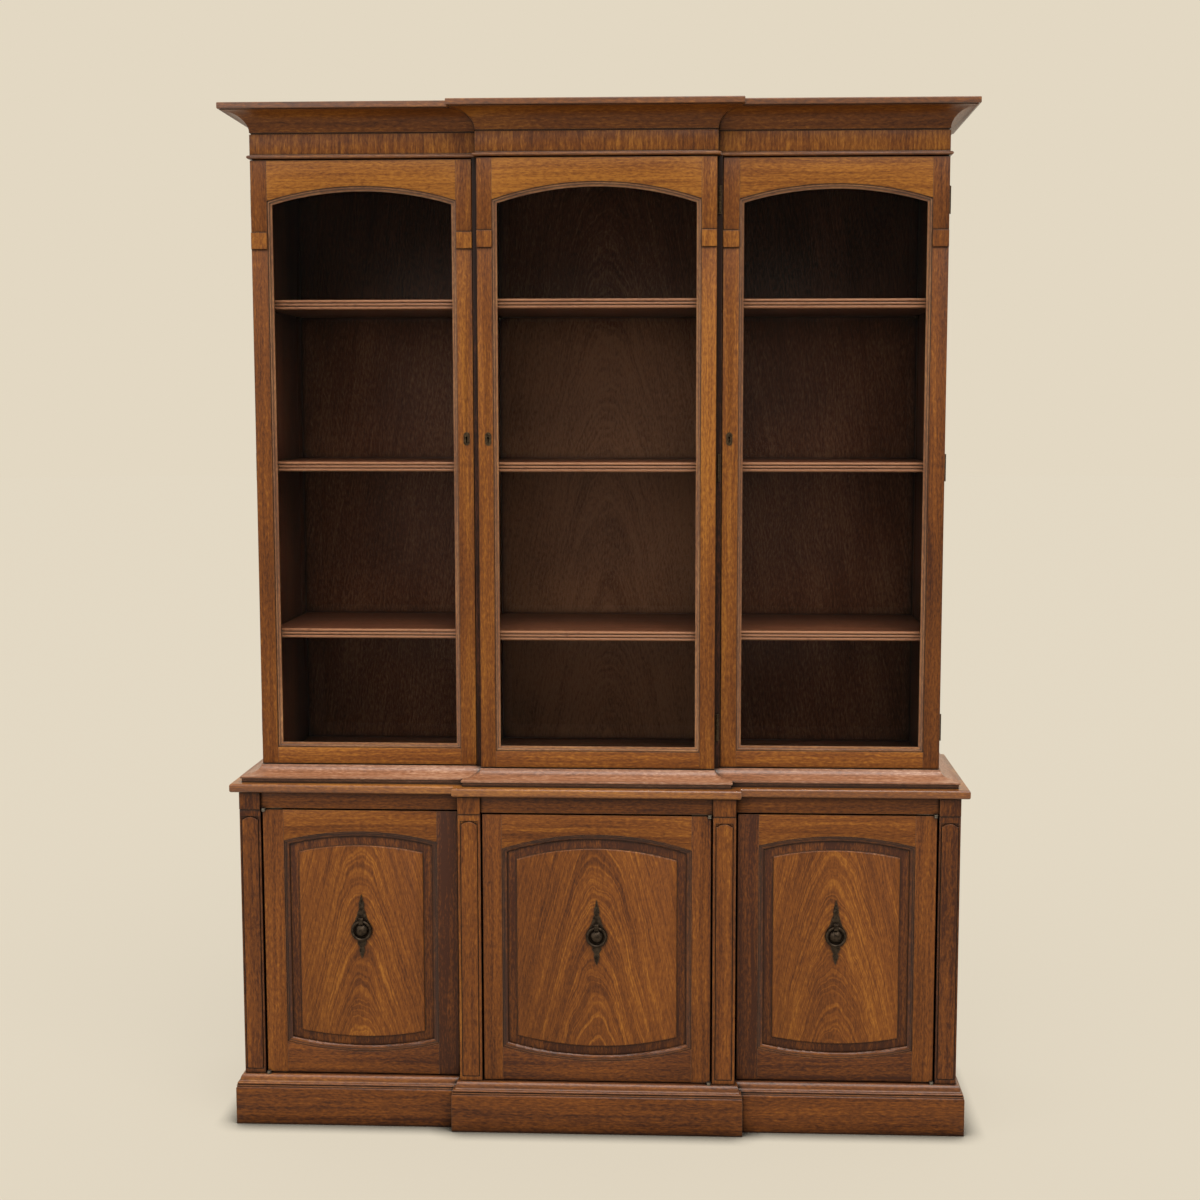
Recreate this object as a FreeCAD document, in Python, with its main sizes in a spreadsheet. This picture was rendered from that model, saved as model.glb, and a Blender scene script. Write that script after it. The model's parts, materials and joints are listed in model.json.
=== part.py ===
import FreeCAD, Part
import math
import os
import Sketcher

# A breakfront hutch: a base with three cupboards, and above it a case with three arched glass doors.
# The frame is Z up, X to the right and the front towards -Y, with the origin under the middle of the plinth.
# All sizes are in millimetres. The "door plane" is the front of the two outer glass doors.

SIZES = {
    # The whole
    "step": 23.5,                  # how far the centre bay stands forward
    "case_depth": 330.0,           # door plane to the back of the case
    "case_width": 1392.4,          # across the upper case
    "centre_bay": 466.0,           # between the upper partitions
    "frieze_centre": 481.0,        # across the centre part of the frieze
    "waist_centre": 473.6,         # across the centre part of the waist moulding, at its back
    "base_side_reach": 40.7,       # base end beyond upper end
    "base_reach": 40.0,            # pilaster face in front of the door plane
    "base_centre": 565.6,          # across the two inner pilasters
    # Heights, from the floor up
    "plinth_height": 80.5,
    "plinth_mould_height": 23.5,
    "base_height": 598.0,
    "slab_thick": 18.0,
    "foot_height": 11.0,
    "upper_floor_thick": 19.0,
    "door_lift": 4.0,
    "door_height": 1223.0,
    "head_gap": 2.5,
    "bead_height": 8.5,
    "frieze_height": 40.0,
    "neck_height": 3.0,
    "cove_height": 38.0,
    "cove_fillet": 1.5,
    "cornice_thick": 12.5,
    # Boards
    "end_thick": 22.0,
    "partition_thick": 16.0,
    "base_partition_thick": 19.0,
    "back_thick": 6.0,
    "frieze_thick": 18.0,
    "top_thick": 19.0,
    "plinth_thick": 22.0,
    "plinth_ease": 5.0,
    "plinth_overhang": 16.3,
    "slab_side_overhang": 16.5,
    "slab_front_overhang": 14.0,
    "slab_return_overhang": 10.0,
    "slab_round": 4.5,
    # Waist moulding, bead and cornice
    "foot_width": 22.0,
    "foot_reach": 35.5,
    "lip_reach": 38.5,
    "lip_top": 13.0,
    "lip_under": 8.5,
    "lip_round": 1.0,
    "waist_mould_height": 32.0,
    "waist_ledge": 2.5,
    "bead_reach": 5.5,
    "bead_round": 3.75,
    "neck_depth": 2.5,
    "cove_reach": 45.0,
    "cove_lip": 46.0,
    "cornice_reach": 50.8,
    "cornice_round": 2.0,
    # Pilasters
    "pilaster_width": 43.0,
    "post_width": 46.1,
    "pilaster_thick": 22.0,
    "rail_height": 35.0,
    "rail_setback": 4.0,
    "rail_thick": 20.0,
    "capital_height": 35.5,
    "capital_drop": 2.0,
    "capital_proud": 2.5,
    "capital_round": 1.2,
    "groove_height": 2.0,
    "groove_depth": 1.2,
    "strip_width": 33.0,
    "strip_foot": 10.5,
    "strip_head": 53.5,
    "strip_arch": 5.5,
    "strip_shoulder": 2.5,
    "strip_corner": 3.0,
    "strip_proud": 1.5,
    "strip_round": 1.3,
    "channel_width": 1.5,
    "channel_depth": 2.0,
    # Upper doors
    "door_thick": 20.0,
    "door_space": 0.5,
    "side_gap": 1.2,
    "centre_overlay": 5.4,
    "side_stile": 32.6,
    "centre_stile": 30.4,
    "foot_rail": 33.5,
    "side_crown": 51.0,            # door top to the crown of the opening
    "centre_crown": 47.0,
    "arch_radius": 645.0,
    "door_round": 1.5,
    "sight_step": 4.0,
    "sight_width": 9.5,
    "sight_upper": 2.5,            # depth of each step of the sight moulding below the door's face
    "sight_lower": 6.0,
    "glass_depth": 10.0,
    "glass_thick": 3.0,
    "glass_clear": 0.3,
    "bead_width": 8.0,
    "bead_thick": 6.0,
    "block_height": 33.0,
    "block_drop": 142.0,
    "block_proud": 3.5,
    "block_round": 1.5,
    "block_groove": 1.8,
    "block_groove_depth": 1.0,
    # Cupboard doors
    "cupboard_recess": 3.0,
    "cupboard_gap": 4.0,
    "cupboard_lift": 2.5,
    "cupboard_head_gap": 3.5,
    "cupboard_stile": 42.9,
    "cupboard_centre_stile": 39.1,
    "cupboard_crown": 44.0,
    "cupboard_centre_crown": 40.0,
    "cupboard_bow": 46.5,
    "cupboard_centre_bow": 42.0,
    "crown_radius": 620.0,
    "bow_radius": 680.0,
    "panel_step": 3.5,
    "panel_mould": 11.0,
    "panel_upper": 1.5,
    "panel_lower": 3.5,
    "panel_ovolo": 3.6,
    "panel_depth": 8.0,
    "panel_thick": 6.0,
    "field_inset": 30.0,
    "field_rise": 4.0,
    "field_round": 2.5,
    "field_corner": 1.5,
    # Shelves
    "shelf_thick": 19.5,
    "shelf_setback": 4.5,
    "shelf_gap": 0.3,
    "shelf_back_gap": 1.0,
    "low_shelf": 262.4,
    "middle_shelf": 606.2,
    "high_shelf": 933.6,
    "base_shelf": 290.0,
    "base_shelf_setback": 25.0,
    "base_shelf_thick": 19.0,
    "pin_radius": 3.0,
    "pin_length": 16.0,
    "pin_depth": 7.0,
    "pin_inset": 40.0,
    "pin_clear": 0.05,
    # Butt hinges
    "knuckle_radius": 2.4,
    "knuckle_clear": 0.3,
    "knuckle_gap": 0.2,
    "hinge_length": 55.0,
    "hinge_inset": 82.0,
    "leaf_thick": 1.2,
    "leaf_width": 19.0,
    "case_leaf_width": 13.0,
    "case_leaf_inset": 1.6,
    "hinge_pin_radius": 1.2,
    "centre_axis_out": 5.1,        # centre door's edge to its hinge axis
    # Knife hinges
    "pivot_inset": 3.0,
    "pivot_forward": 3.5,
    "knife_thick": 2.0,
    "knife_eye": 4.0,
    "knife_depth": 5.0,
    "knife_width": 10.0,
    "knife_length": 36.0,
    "pivot_pin_radius": 1.6,
    # Locks
    "lock_height": 669.0,
    "lock_width": 26.0,
    "lock_tall": 42.0,
    "lock_thick": 8.0,
    "lock_inset": 2.0,
    "centre_lock_inset": 6.9,
    "bolt_tall": 12.0,
    "bolt_thick": 4.0,
    "bolt_length": 20.0,
    "bolt_depth": 2.5,
    "bolt_clear": 0.15,
    "mortise_depth": 7.4,
    "mortise_clear": 0.4,
    "key_width": 12.0,
    "key_height": 26.0,
    "key_thick": 0.8,
    "keyhole_radius": 2.4,
    "keyhole_slot": 2.6,
    "keyhole_length": 8.0,
    # Ring handles
    "plate_width": 44.0,
    "plate_height": 138.0,
    "plate_thick": 2.0,
    "nail_hole_radius": 1.3,
    "pierced_radius": 2.4,
    "plate_rise": 26.0,            # handle's centre above the middle of the door
    "boss_radius": 14.8,
    "boss_reach": 8.5,
    "ring_radius": 18.75,
    "ring_wire": 2.75,
    "ring_forward": 4.5,
    "eye_width": 9.0,
    "eye_height": 14.0,
    "eye_rise": 2.0,               # eye's middle above the ring's axis
    "eye_reach": 10.5,
    "eye_round": 1.8,
    "eye_hole": 3.5,
    # Screws that join the two cases
    "screw_radius": 2.5,
    "screw_bite": 12.0,
    "screw_head": 5.0,
    "screw_head_depth": 3.0,
    "screw_inset_x": 420.0,
    "screw_inset_y": 70.0,
    # Overrun for every cut
    "overrun": 5.0,
}

# Backplate outline, as shares of half its width and half its height, up its right-hand side.
# An entry of four holds the middle of an arc and then its end.
PLATE_SHARES = [
    (0.0, -0.87),
    (0.10, -0.78),
    (0.21, -0.68),
    (0.26, -0.61),
    (0.17, -0.53),
    (0.33, -0.45),
    (0.43, -0.39),
    (0.36, -0.35),
    (0.41, -0.29),
    (0.74, -0.216, 1.0, 0.0),
    (0.92, 0.122, 0.75, 0.21),
    (0.48, 0.39, 0.35, 0.55),
    (0.18, 0.67),
    (0.26, 0.73),
    (0.19, 0.78),
    (0.24, 0.83),
    (0.12, 0.91),
    (0.07, 0.99),
    (0.0, 1.1),
]
# Holes through the backplate, in the same shares
NAIL_HOLES = [(0.0, 0.81), (0.0, -0.60)]
PIERCED_HOLES = [(-0.36, 0.33), (0.36, 0.33)]

# Plinth moulding, as shares of its reach and height; four numbers are a quarter round's centre and end.
PLINTH_MOULD_SHARES = [
    (0.0, 0.0),
    (0.92, 0.0),
    (0.92, 0.10),
    (0.74, 0.14),
    (0.74, 0.24, 0.86, 0.24),
    (0.74, 0.24, 0.74, 0.34),
    (0.74, 0.53, 0.51, 0.53),
    (0.51, 0.57),
    (0.04, 0.57, 0.04, 1.0),
    (0.0, 1.0),
]

HALF_TURN_SHARE = math.sqrt(0.5)   # where a quarter round is at its middle
CURVE_STEPS = 8
KNUCKLES = 5
REEDS = 3
SAME_PLACE = 1e-4                  # places closer than this, in millimetres, are one place


class Size:
    """A length of the hutch: its value and the sheet's formula for it."""

    def __init__(self, formula, value):
        self.formula = formula
        self.value = value

    def combined(self, sign, other, value):
        return Size(f"({self.formula} {sign} {other.formula})", value)

    def __add__(self, other):
        other = size(other)
        return self.combined("+", other, self.value + other.value)

    def __sub__(self, other):
        other = size(other)
        return self.combined("-", other, self.value - other.value)

    def __mul__(self, other):
        other = size(other)
        return self.combined("*", other, self.value * other.value)

    def __truediv__(self, other):
        other = size(other)
        return self.combined("/", other, self.value / other.value)

    def __rmul__(self, other):
        return size(other) * self

    def __neg__(self):
        return Size(f"(0 - {self.formula})", -self.value)


def size(number):
    return number if isinstance(number, Size) else Size(repr(float(number)), float(number))


def root(area):
    return Size(f"sqrt({area.formula})", math.sqrt(area.value))


doc = FreeCAD.newDocument("Hutch")
sheet = doc.addObject("Spreadsheet::Sheet", "Sizes")
for row, (name, number) in enumerate(SIZES.items(), 1):
    sheet.set(f"A{row}", name)
    sheet.set(f"B{row}", str(number))
    sheet.setAlias(f"B{row}", name)
doc.recompute()


class Sheet:
    """The sheet's cells by alias, as sizes."""

    def __getattr__(self, alias):
        return Size("Sizes." + alias, float(getattr(sheet, alias)))


S = Sheet()
nodes = []


# Helpers

def bind(item, **sizes):
    for name, length in sizes.items():
        item.setExpression(name, size(length).formula)
    return item


def place(item, x, y, z):
    for axis, length in zip("xyz", (x, y, z)):
        item.setExpression("Placement.Base." + axis, size(length).formula)
    return item


def board(label, x, y, z):
    """A rectangular board between pairs of planes."""
    item = doc.addObject("Part::Box", label)
    bind(item, Length=x[1] - x[0], Width=y[1] - y[0], Height=z[1] - z[0])
    return place(item, x[0], y[0], z[0])


def rod(label, radius, axis, start, length):
    """A cylinder along +X, +Y or +Z from its start."""
    item = doc.addObject("Part::Cylinder", label)
    way = {"x": FreeCAD.Vector(1, 0, 0), "y": FreeCAD.Vector(0, 1, 0), "z": FreeCAD.Vector(0, 0, 1)}
    item.Placement = FreeCAD.Placement(FreeCAD.Vector(), FreeCAD.Rotation(way["z"], way[axis]))
    bind(item, Radius=radius, Height=length)
    return place(item, *start)


def cut(label, base, *tools):
    item = doc.addObject("Part::Cut", label)
    item.Base = base
    item.Tool = tools[0] if len(tools) == 1 else bundle(label + "_tools", tools)
    return item


def common(label, *shapes):
    item = doc.addObject("Part::MultiCommon", label)
    item.Shapes = list(shapes)
    return item


def fuse(label, *shapes):
    item = doc.addObject("Part::MultiFuse", label)
    item.Shapes = list(shapes)
    return item


def bundle(label, shapes):
    item = doc.addObject("Part::Compound", label)
    item.Links = list(shapes)
    return item


def node(label, *shapes):
    """A named sub-part made of one piece or of several separate ones."""
    item = bundle(label, shapes)
    item.Label = label
    nodes.append(item)
    return item


def eased(label, base, radius, wanted):
    """The base with every edge that the test wants rounded."""
    doc.recompute([base])
    item = doc.addObject("Part::Fillet", label)
    item.Base = base
    item.Edges = [(number, radius.value, radius.value)
                  for number, edge in enumerate(base.Shape.Edges, 1) if wanted(edge)]
    return item


def side_span(side, inner, outer):
    """The pair of X planes between two distances from the middle, on the left (-1) or the right (1)."""
    return (inner, outer) if side > 0 else (-outer, -inner)


def near(a, b):
    return abs(a - b) < SAME_PLACE


def lies_at(edge, x=None, y=None, z=None):
    """Whether all of an edge lies in the given planes."""
    box = edge.BoundBox
    spans = ((x, box.XMin, box.XMax), (y, box.YMin, box.YMax), (z, box.ZMin, box.ZMax))
    return all(plane is None or (near(low, plane.value) and near(high, plane.value))
               for plane, low, high in spans)


def drawn_on(body, role, outline):
    """A closed sketch on one of the body's own planes, with each corner tied to the sheet.

    An entry of four lengths is the middle of an arc and its end.
    """
    drawing = body.newObject("Sketcher::SketchObject", body.Name + "_outline")
    plane = next(feature for feature in body.Origin.OriginFeatures if feature.Role == role)
    drawing.AttachmentSupport = [(plane, "")]
    drawing.MapMode = "FlatFace"
    corners = [(size(point[-2]), size(point[-1])) for point in outline]
    spots = [FreeCAD.Vector(across.value, up.value, 0) for across, up in corners]
    edges = []
    for number, point in enumerate(outline):
        start, end = spots[number - 1], spots[number]
        if len(point) == 4:
            middle = FreeCAD.Vector(size(point[0]).value, size(point[1]).value, 0)
            edges.append(Part.Arc(start, middle, end))
        else:
            edges.append(Part.LineSegment(start, end))
    drawing.addGeometry(edges, False)
    last = []
    for number in range(len(edges)):
        ends_second = (drawing.getPoint(number, 2) - spots[number]).Length < (
            drawing.getPoint(number, 1) - spots[number]).Length
        last.append(2 if ends_second else 1)
    for number in range(len(edges)):
        following = (number + 1) % len(edges)
        first = 3 - last[following]
        drawing.addConstraint(Sketcher.Constraint("Coincident", number, last[number], following, first))
    for number, (across, up) in enumerate(corners):
        for kind, length in (("DistanceX", across), ("DistanceY", up)):
            rule = drawing.addConstraint(Sketcher.Constraint(kind, -1, 1, number, last[number], length.value))
            drawing.setExpression(f"Constraints[{rule}]", length.formula)
    return drawing


def padded(label, role, outline, thick, at, rounds=()):
    """A body padded from an outline; each round is a radius and a test for the edges that it takes.

    From the XZ plane the pad grows towards the front, and from the XY plane upwards.
    """
    body = doc.addObject("PartDesign::Body", label)
    pad = body.newObject("PartDesign::Pad", body.Name + "_pad")
    pad.Profile = drawn_on(body, role, outline)
    bind(pad, Length=thick)
    doc.recompute([pad.Profile[0], pad])
    last = pad
    for number, (radius, wanted) in enumerate(rounds):
        picked = [f"Edge{index}" for index, edge in enumerate(last.Shape.Edges, 1) if wanted(edge)]
        fillet = body.newObject("PartDesign::Fillet", f"{body.Name}_round{number}")
        fillet.Base = (last, picked)
        bind(fillet, Radius=radius)
        doc.recompute([fillet])
        last = fillet
    body.Tip = last
    return place(body, *at)


def is_corner(edge):
    """Whether an edge of a pad that is drawn on XZ runs from its back to its front."""
    return near(edge.BoundBox.XMin, edge.BoundBox.XMax) and near(edge.BoundBox.ZMin, edge.BoundBox.ZMax)


def on_front(thick):
    """A test for the edges round the front of a pad that is drawn on XZ."""
    return lambda edge: lies_at(edge, y=-size(thick))


# Breakfront outlines and mitred mouldings

OUTWARD = [(-1, 0), (0, -1), (-1, 0), (0, -1), (1, 0), (0, -1), (1, 0)]


def breakfront(half, front, centre_half, back):
    """Plan corners from the back left round the front to the back right, as pairs of sizes."""
    forward = front - S.step
    return [(-half, back), (-half, front), (-centre_half, front), (-centre_half, forward),
            (centre_half, forward), (centre_half, front), (half, front), (half, back)]


def quarter_round(start, centre, end):
    """A quarter of a circle or of an ellipse between two points."""
    towards_start, towards_end = start - centre, end - centre
    if near(towards_start.Length, towards_end.Length):
        middle = centre + (towards_start + towards_end) * HALF_TURN_SHARE
        return Part.Arc(start, middle, end).toShape()
    turns = [math.pi / 2 * step / CURVE_STEPS for step in range(CURVE_STEPS + 1)]
    curve = Part.BSplineCurve()
    curve.interpolate([centre + towards_start * math.cos(turn) + towards_end * math.sin(turn) for turn in turns])
    return curve.toShape()


def section(profile, spot, outward):
    """The profile's face, square to the run; each entry is a distance outward and a height."""
    def point(reach, height):
        return spot + outward * size(reach).value + FreeCAD.Vector(0, 0, size(height).value)

    edges = []
    for number, entry in enumerate(profile):
        start = point(*profile[number - 1][-2:])
        end = point(*entry[-2:])
        if len(entry) == 4:
            edges.append(quarter_round(start, point(*entry[:2]), end))
        else:
            edges.append(Part.LineSegment(start, end).toShape())
    return Part.Face(Part.Wire(edges))


def mitred_runs(label, corners, profile):
    """Seven lengths of one moulding, mitred at the breakfront's corners and cut square at the back."""
    reaches = [size(entry[-2]).value for entry in profile]
    heights = [size(entry[-1]).value for entry in profile]
    low, high = min(reaches), max(reaches)
    spots = [FreeCAD.Vector(x.value, y.value, 0) for x, y in corners]
    normals = [FreeCAD.Vector(*pair, 0) for pair in OUTWARD]
    mitres = [normals[0]] + [a + b for a, b in zip(normals, normals[1:])] + [normals[-1]]
    clear = S.overrun.value
    overrun = max(abs(low), abs(high)) + clear
    lift = FreeCAD.Vector(0, 0, min(heights) - clear)
    runs = []
    for number, outward in enumerate(normals):
        start, end = spots[number], spots[number + 1]
        along = (end - start).normalize()
        bar = section(profile, start - along * overrun, outward).extrude(
            along * ((end - start).Length + 2 * overrun))
        # The wedge shares only its mitre planes with the bar: a plane in common spoils the cut.
        inner, outer = low - clear, high + clear
        plan = [start + mitres[number] * inner, start + mitres[number] * outer,
                end + mitres[number + 1] * outer, end + mitres[number + 1] * inner]
        wedge = Part.Face(Part.makePolygon([point + lift for point in plan + plan[:1]])).extrude(
            FreeCAD.Vector(0, 0, max(heights) - min(heights) + 2 * clear))
        runs += bar.common(wedge).Solids
    item = doc.addObject("Part::Feature", label)
    item.Shape = Part.makeCompound(runs)
    return item


def breakfront_board(label, corners, bottom, thick, rounds=()):
    """One board of breakfront plan."""
    return padded(label, "XY_Plane", corners, thick, (0, 0, bottom), rounds)


def rim(back, level):
    """A test for a slab's edges at one level, all but the back one; levels count from the slab's underside."""
    def wanted(edge):
        return lies_at(edge, z=size(level)) and not lies_at(edge, y=back)
    return wanted


# Planes and levels that the pieces share

door_face = (S.plinth_overhang + S.base_reach + S.step - S.case_depth) / 2
back = door_face + S.case_depth
case_front = door_face + S.door_thick + S.door_space
case_half = S.case_width / 2
partition_inner = S.centre_bay / 2
partition_outer = partition_inner + S.partition_thick
end_inner = case_half - S.end_thick
panel_front = back - S.back_thick

base_face = door_face - S.base_reach
base_half = case_half + S.base_side_reach
base_centre_half = S.base_centre / 2
pilaster_inner = base_half - S.pilaster_width
post_inner = base_centre_half - S.post_width
base_end_inner = base_half - S.end_thick
base_case_front = base_face + S.pilaster_thick
base_partition_middle = (base_centre_half + post_inner) / 2
base_partition_inner = base_partition_middle - S.base_partition_thick / 2
base_partition_outer = base_partition_middle + S.base_partition_thick / 2

floor_top = S.plinth_height + S.plinth_mould_height
slab_bottom = floor_top + S.base_height
slab_top = slab_bottom + S.slab_thick
upper_floor_bottom = slab_top + S.foot_height
upper_floor_top = upper_floor_bottom + S.upper_floor_thick
door_bottom = upper_floor_top + S.door_lift
door_top = door_bottom + S.door_height
ends_top = door_top + S.head_gap
frieze_bottom = ends_top + S.bead_height
frieze_top = frieze_bottom + S.frieze_height
cove_bottom = frieze_top + S.neck_height
cove_top = cove_bottom + S.cove_height
cornice_bottom = cove_top + S.cove_fillet

rail_bottom = slab_bottom - S.rail_height
cupboard_bottom = floor_top + S.cupboard_lift
cupboard_top = rail_bottom - S.cupboard_head_gap
cupboard_face = base_face + S.cupboard_recess

base_outline = breakfront(base_half, base_face, base_centre_half, back)
waist_outline = breakfront(case_half, door_face, S.waist_centre / 2, back)
frieze_outline = breakfront(case_half, door_face, S.frieze_centre / 2, back)


# Plinth

def plinth():
    ease_start = S.plinth_height - S.plinth_ease
    boards = mitred_runs("plinth_runs", breakfront(base_half + S.plinth_overhang, base_face - S.plinth_overhang,
                                                   base_centre_half + S.plinth_overhang, back), [
        (-S.plinth_thick, 0),
        (0, 0),
        (0, ease_start),
        (-S.plinth_ease, ease_start, -S.plinth_ease, S.plinth_height),
        (-S.plinth_thick, S.plinth_height),
    ])
    inside = base_half + S.plinth_overhang - S.plinth_thick
    rear = board("plinth_rear", (-inside, inside), (back - S.plinth_thick, back), (0, S.plinth_height))
    node("plinth_boards", boards, rear)

    profile = [tuple(share * length + start for share, length, start in
                     zip(entry, (S.plinth_overhang, S.plinth_mould_height) * 2, (0, S.plinth_height) * 2))
               for entry in PLINTH_MOULD_SHARES]
    node("plinth_moulding", mitred_runs("plinth_mould_runs", base_outline, profile))


# Shelf pins and their holes

def pin_spots(levels, front, rear):
    """Height and depth of every pin: two to a shelf at each end of it."""
    return [(level - S.pin_radius, y) for level in levels for y in (front + S.pin_inset, rear - S.pin_inset)]


def pins(wall, inward, spots):
    """Pins in a wall; inward is the way that they stick out, -1 or 1."""
    start = wall - S.pin_depth if inward > 0 else wall + S.pin_depth - S.pin_length
    return [rod("shelf_pin", S.pin_radius, "x", (start, y, z), S.pin_length) for z, y in spots]


def pin_holes(wall, inward, spots):
    start = wall - S.pin_depth if inward > 0 else wall - S.overrun
    return [rod("pin_hole", S.pin_radius + S.pin_clear, "x", (start, y, z), S.pin_depth + S.overrun)
            for z, y in spots]


# Base case

def base_case():
    level = floor_top + S.base_shelf
    shelf_front = cupboard_face + S.door_thick + S.base_shelf_setback
    shelf_rear = panel_front - S.shelf_back_gap
    spots = pin_spots([level], shelf_front, shelf_rear)
    all_pins = []

    node("base_floor", breakfront_board("base_floor_board", base_outline, S.plinth_height, S.plinth_mould_height))

    ends = []
    for side in (-1, 1):
        blank = board("base_end_blank", side_span(side, base_end_inner, base_half), (base_case_front, back),
                      (floor_top, slab_bottom))
        wall = side * base_end_inner
        ends.append(cut("base_end", blank, *pin_holes(wall, -side, spots)))
        all_pins += pins(wall, -side, spots)
    node("base_ends", *ends)

    partitions = []
    for side in (-1, 1):
        blank = board("base_partition_blank", side_span(side, base_partition_inner, base_partition_outer),
                      (base_case_front, panel_front), (floor_top, slab_bottom))
        faces = ((side * base_partition_inner, -side), (side * base_partition_outer, side))
        holes = [hole for wall, inward in faces for hole in pin_holes(wall, inward, spots)]
        partitions.append(cut("base_partition", blank, *holes))
        all_pins += [pin for wall, inward in faces for pin in pins(wall, inward, spots)]
    node("base_partitions", *partitions)

    node("base_back", board("base_back_panel", (-base_end_inner, base_end_inner), (panel_front, back),
                            (floor_top, slab_bottom)))

    bays = (side_span(-1, base_partition_outer, base_end_inner), (-base_partition_inner, base_partition_inner),
            side_span(1, base_partition_outer, base_end_inner))
    node("base_shelves", *[board("base_shelf_board", (low + S.shelf_gap, high - S.shelf_gap),
                                 (shelf_front, shelf_rear), (level, level + S.base_shelf_thick))
                           for low, high in bays])

    rails = []
    for low, high, face in ((-pilaster_inner, -base_centre_half, base_face),
                            (-post_inner, post_inner, base_face - S.step),
                            (base_centre_half, pilaster_inner, base_face)):
        front = face + S.rail_setback
        rails.append(board("frieze_rail", (low, high), (front, front + S.rail_thick), (rail_bottom, slab_bottom)))
    node("base_rails", *rails)
    return all_pins


# Pilasters

def pilaster(side, inner, outer, face):
    """One pilaster: its post, the capital block on it and the raised strip in its channel."""
    width = outer - inner
    middle = side * (inner + outer) / 2
    strip_bottom = floor_top + S.strip_foot
    strip_top = slab_bottom - S.strip_head
    half = S.strip_width / 2
    arch_half = half - S.strip_shoulder
    tall = strip_top - strip_bottom
    shoulder = tall - S.strip_arch
    bed = face + S.channel_depth
    raised = S.channel_depth + S.strip_proud
    capital_bottom = slab_bottom - S.capital_drop - S.capital_height

    blank = board("pilaster_blank", side_span(side, inner, outer), (face, base_case_front), (floor_top, slab_bottom))
    channel_half = half + S.channel_width
    channel = board("pilaster_channel", (middle - channel_half, middle + channel_half), (face - S.overrun, bed),
                    (strip_bottom - S.channel_width, strip_top + S.channel_width))
    groove = board("pilaster_groove", (middle - width, middle + width), (face - S.overrun, face + S.groove_depth),
                   (capital_bottom - S.groove_height, capital_bottom))
    post = cut("pilaster_post", blank, channel, groove)

    def foot_corner(edge):
        return is_corner(edge) and near(edge.BoundBox.ZMax, 0)

    strip = padded("pilaster_strip", "XZ_Plane", [
        (-half, 0), (half, 0), (half, shoulder), (arch_half, shoulder), (0, tall, -arch_half, shoulder),
        (-half, shoulder),
    ], raised, (middle, bed, strip_bottom), [(S.strip_corner, foot_corner), (S.strip_round, on_front(raised))])
    capital = padded("pilaster_capital", "XZ_Plane", [
        (-width / 2, 0), (width / 2, 0), (width / 2, S.capital_height), (-width / 2, S.capital_height),
    ], S.capital_proud, (middle, face, capital_bottom), [(S.capital_round, on_front(S.capital_proud))])
    return [post, strip, capital]


def pilasters():
    pieces = []
    for side in (-1, 1):
        pieces += pilaster(side, pilaster_inner, base_half, base_face)
        pieces += pilaster(side, post_inner, base_centre_half, base_face - S.step)
    node("pilasters", *pieces)


# Waist

def waist():
    corners = breakfront(base_half + S.slab_side_overhang, base_face - S.slab_front_overhang,
                         base_centre_half + S.slab_return_overhang, back)
    slab = breakfront_board("waist_slab_board", corners, slab_bottom, S.slab_thick,
                            [(S.slab_round, rim(back, 0)), (S.slab_round, rim(back, S.slab_thick))])
    spots = screw_spots()
    holes = [rod("screw_bite", S.screw_radius, "z", (x, y, slab_top - S.screw_bite), S.screw_bite + S.overrun)
             for x, y in spots]
    node("waist_slab", cut("waist_slab_cut", slab, *holes))

    lip_under = slab_top + S.lip_under
    lip_top = slab_top + S.lip_top
    mould_top = slab_top + S.waist_mould_height
    runs = mitred_runs("waist_mould_runs", waist_outline, [
        (-S.foot_width, slab_top),
        (S.foot_reach, slab_top),
        (S.foot_reach, lip_under),
        (S.lip_reach - S.lip_round, lip_under),
        (S.lip_reach - S.lip_round, lip_under + S.lip_round, S.lip_reach, lip_under + S.lip_round),
        (S.lip_reach, lip_top - S.lip_round),
        (S.lip_reach - S.lip_round, lip_top - S.lip_round, S.lip_reach - S.lip_round, lip_top),
        (S.lip_reach - S.lip_round, mould_top, S.waist_ledge, mould_top),
        (0, mould_top),
        (0, upper_floor_bottom),
        (-S.foot_width, upper_floor_bottom),
    ])
    inside = case_half - S.foot_width
    bearer = board("waist_bearer", (-inside, inside), (back - S.foot_width, back), (slab_top, upper_floor_bottom))
    node("waist_moulding", runs, bearer)


def screw_spots():
    return [(side * S.screw_inset_x, y) for side in (-1, 1)
            for y in (case_front + S.screw_inset_y, panel_front - S.screw_inset_y)]


# Upper case

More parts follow.
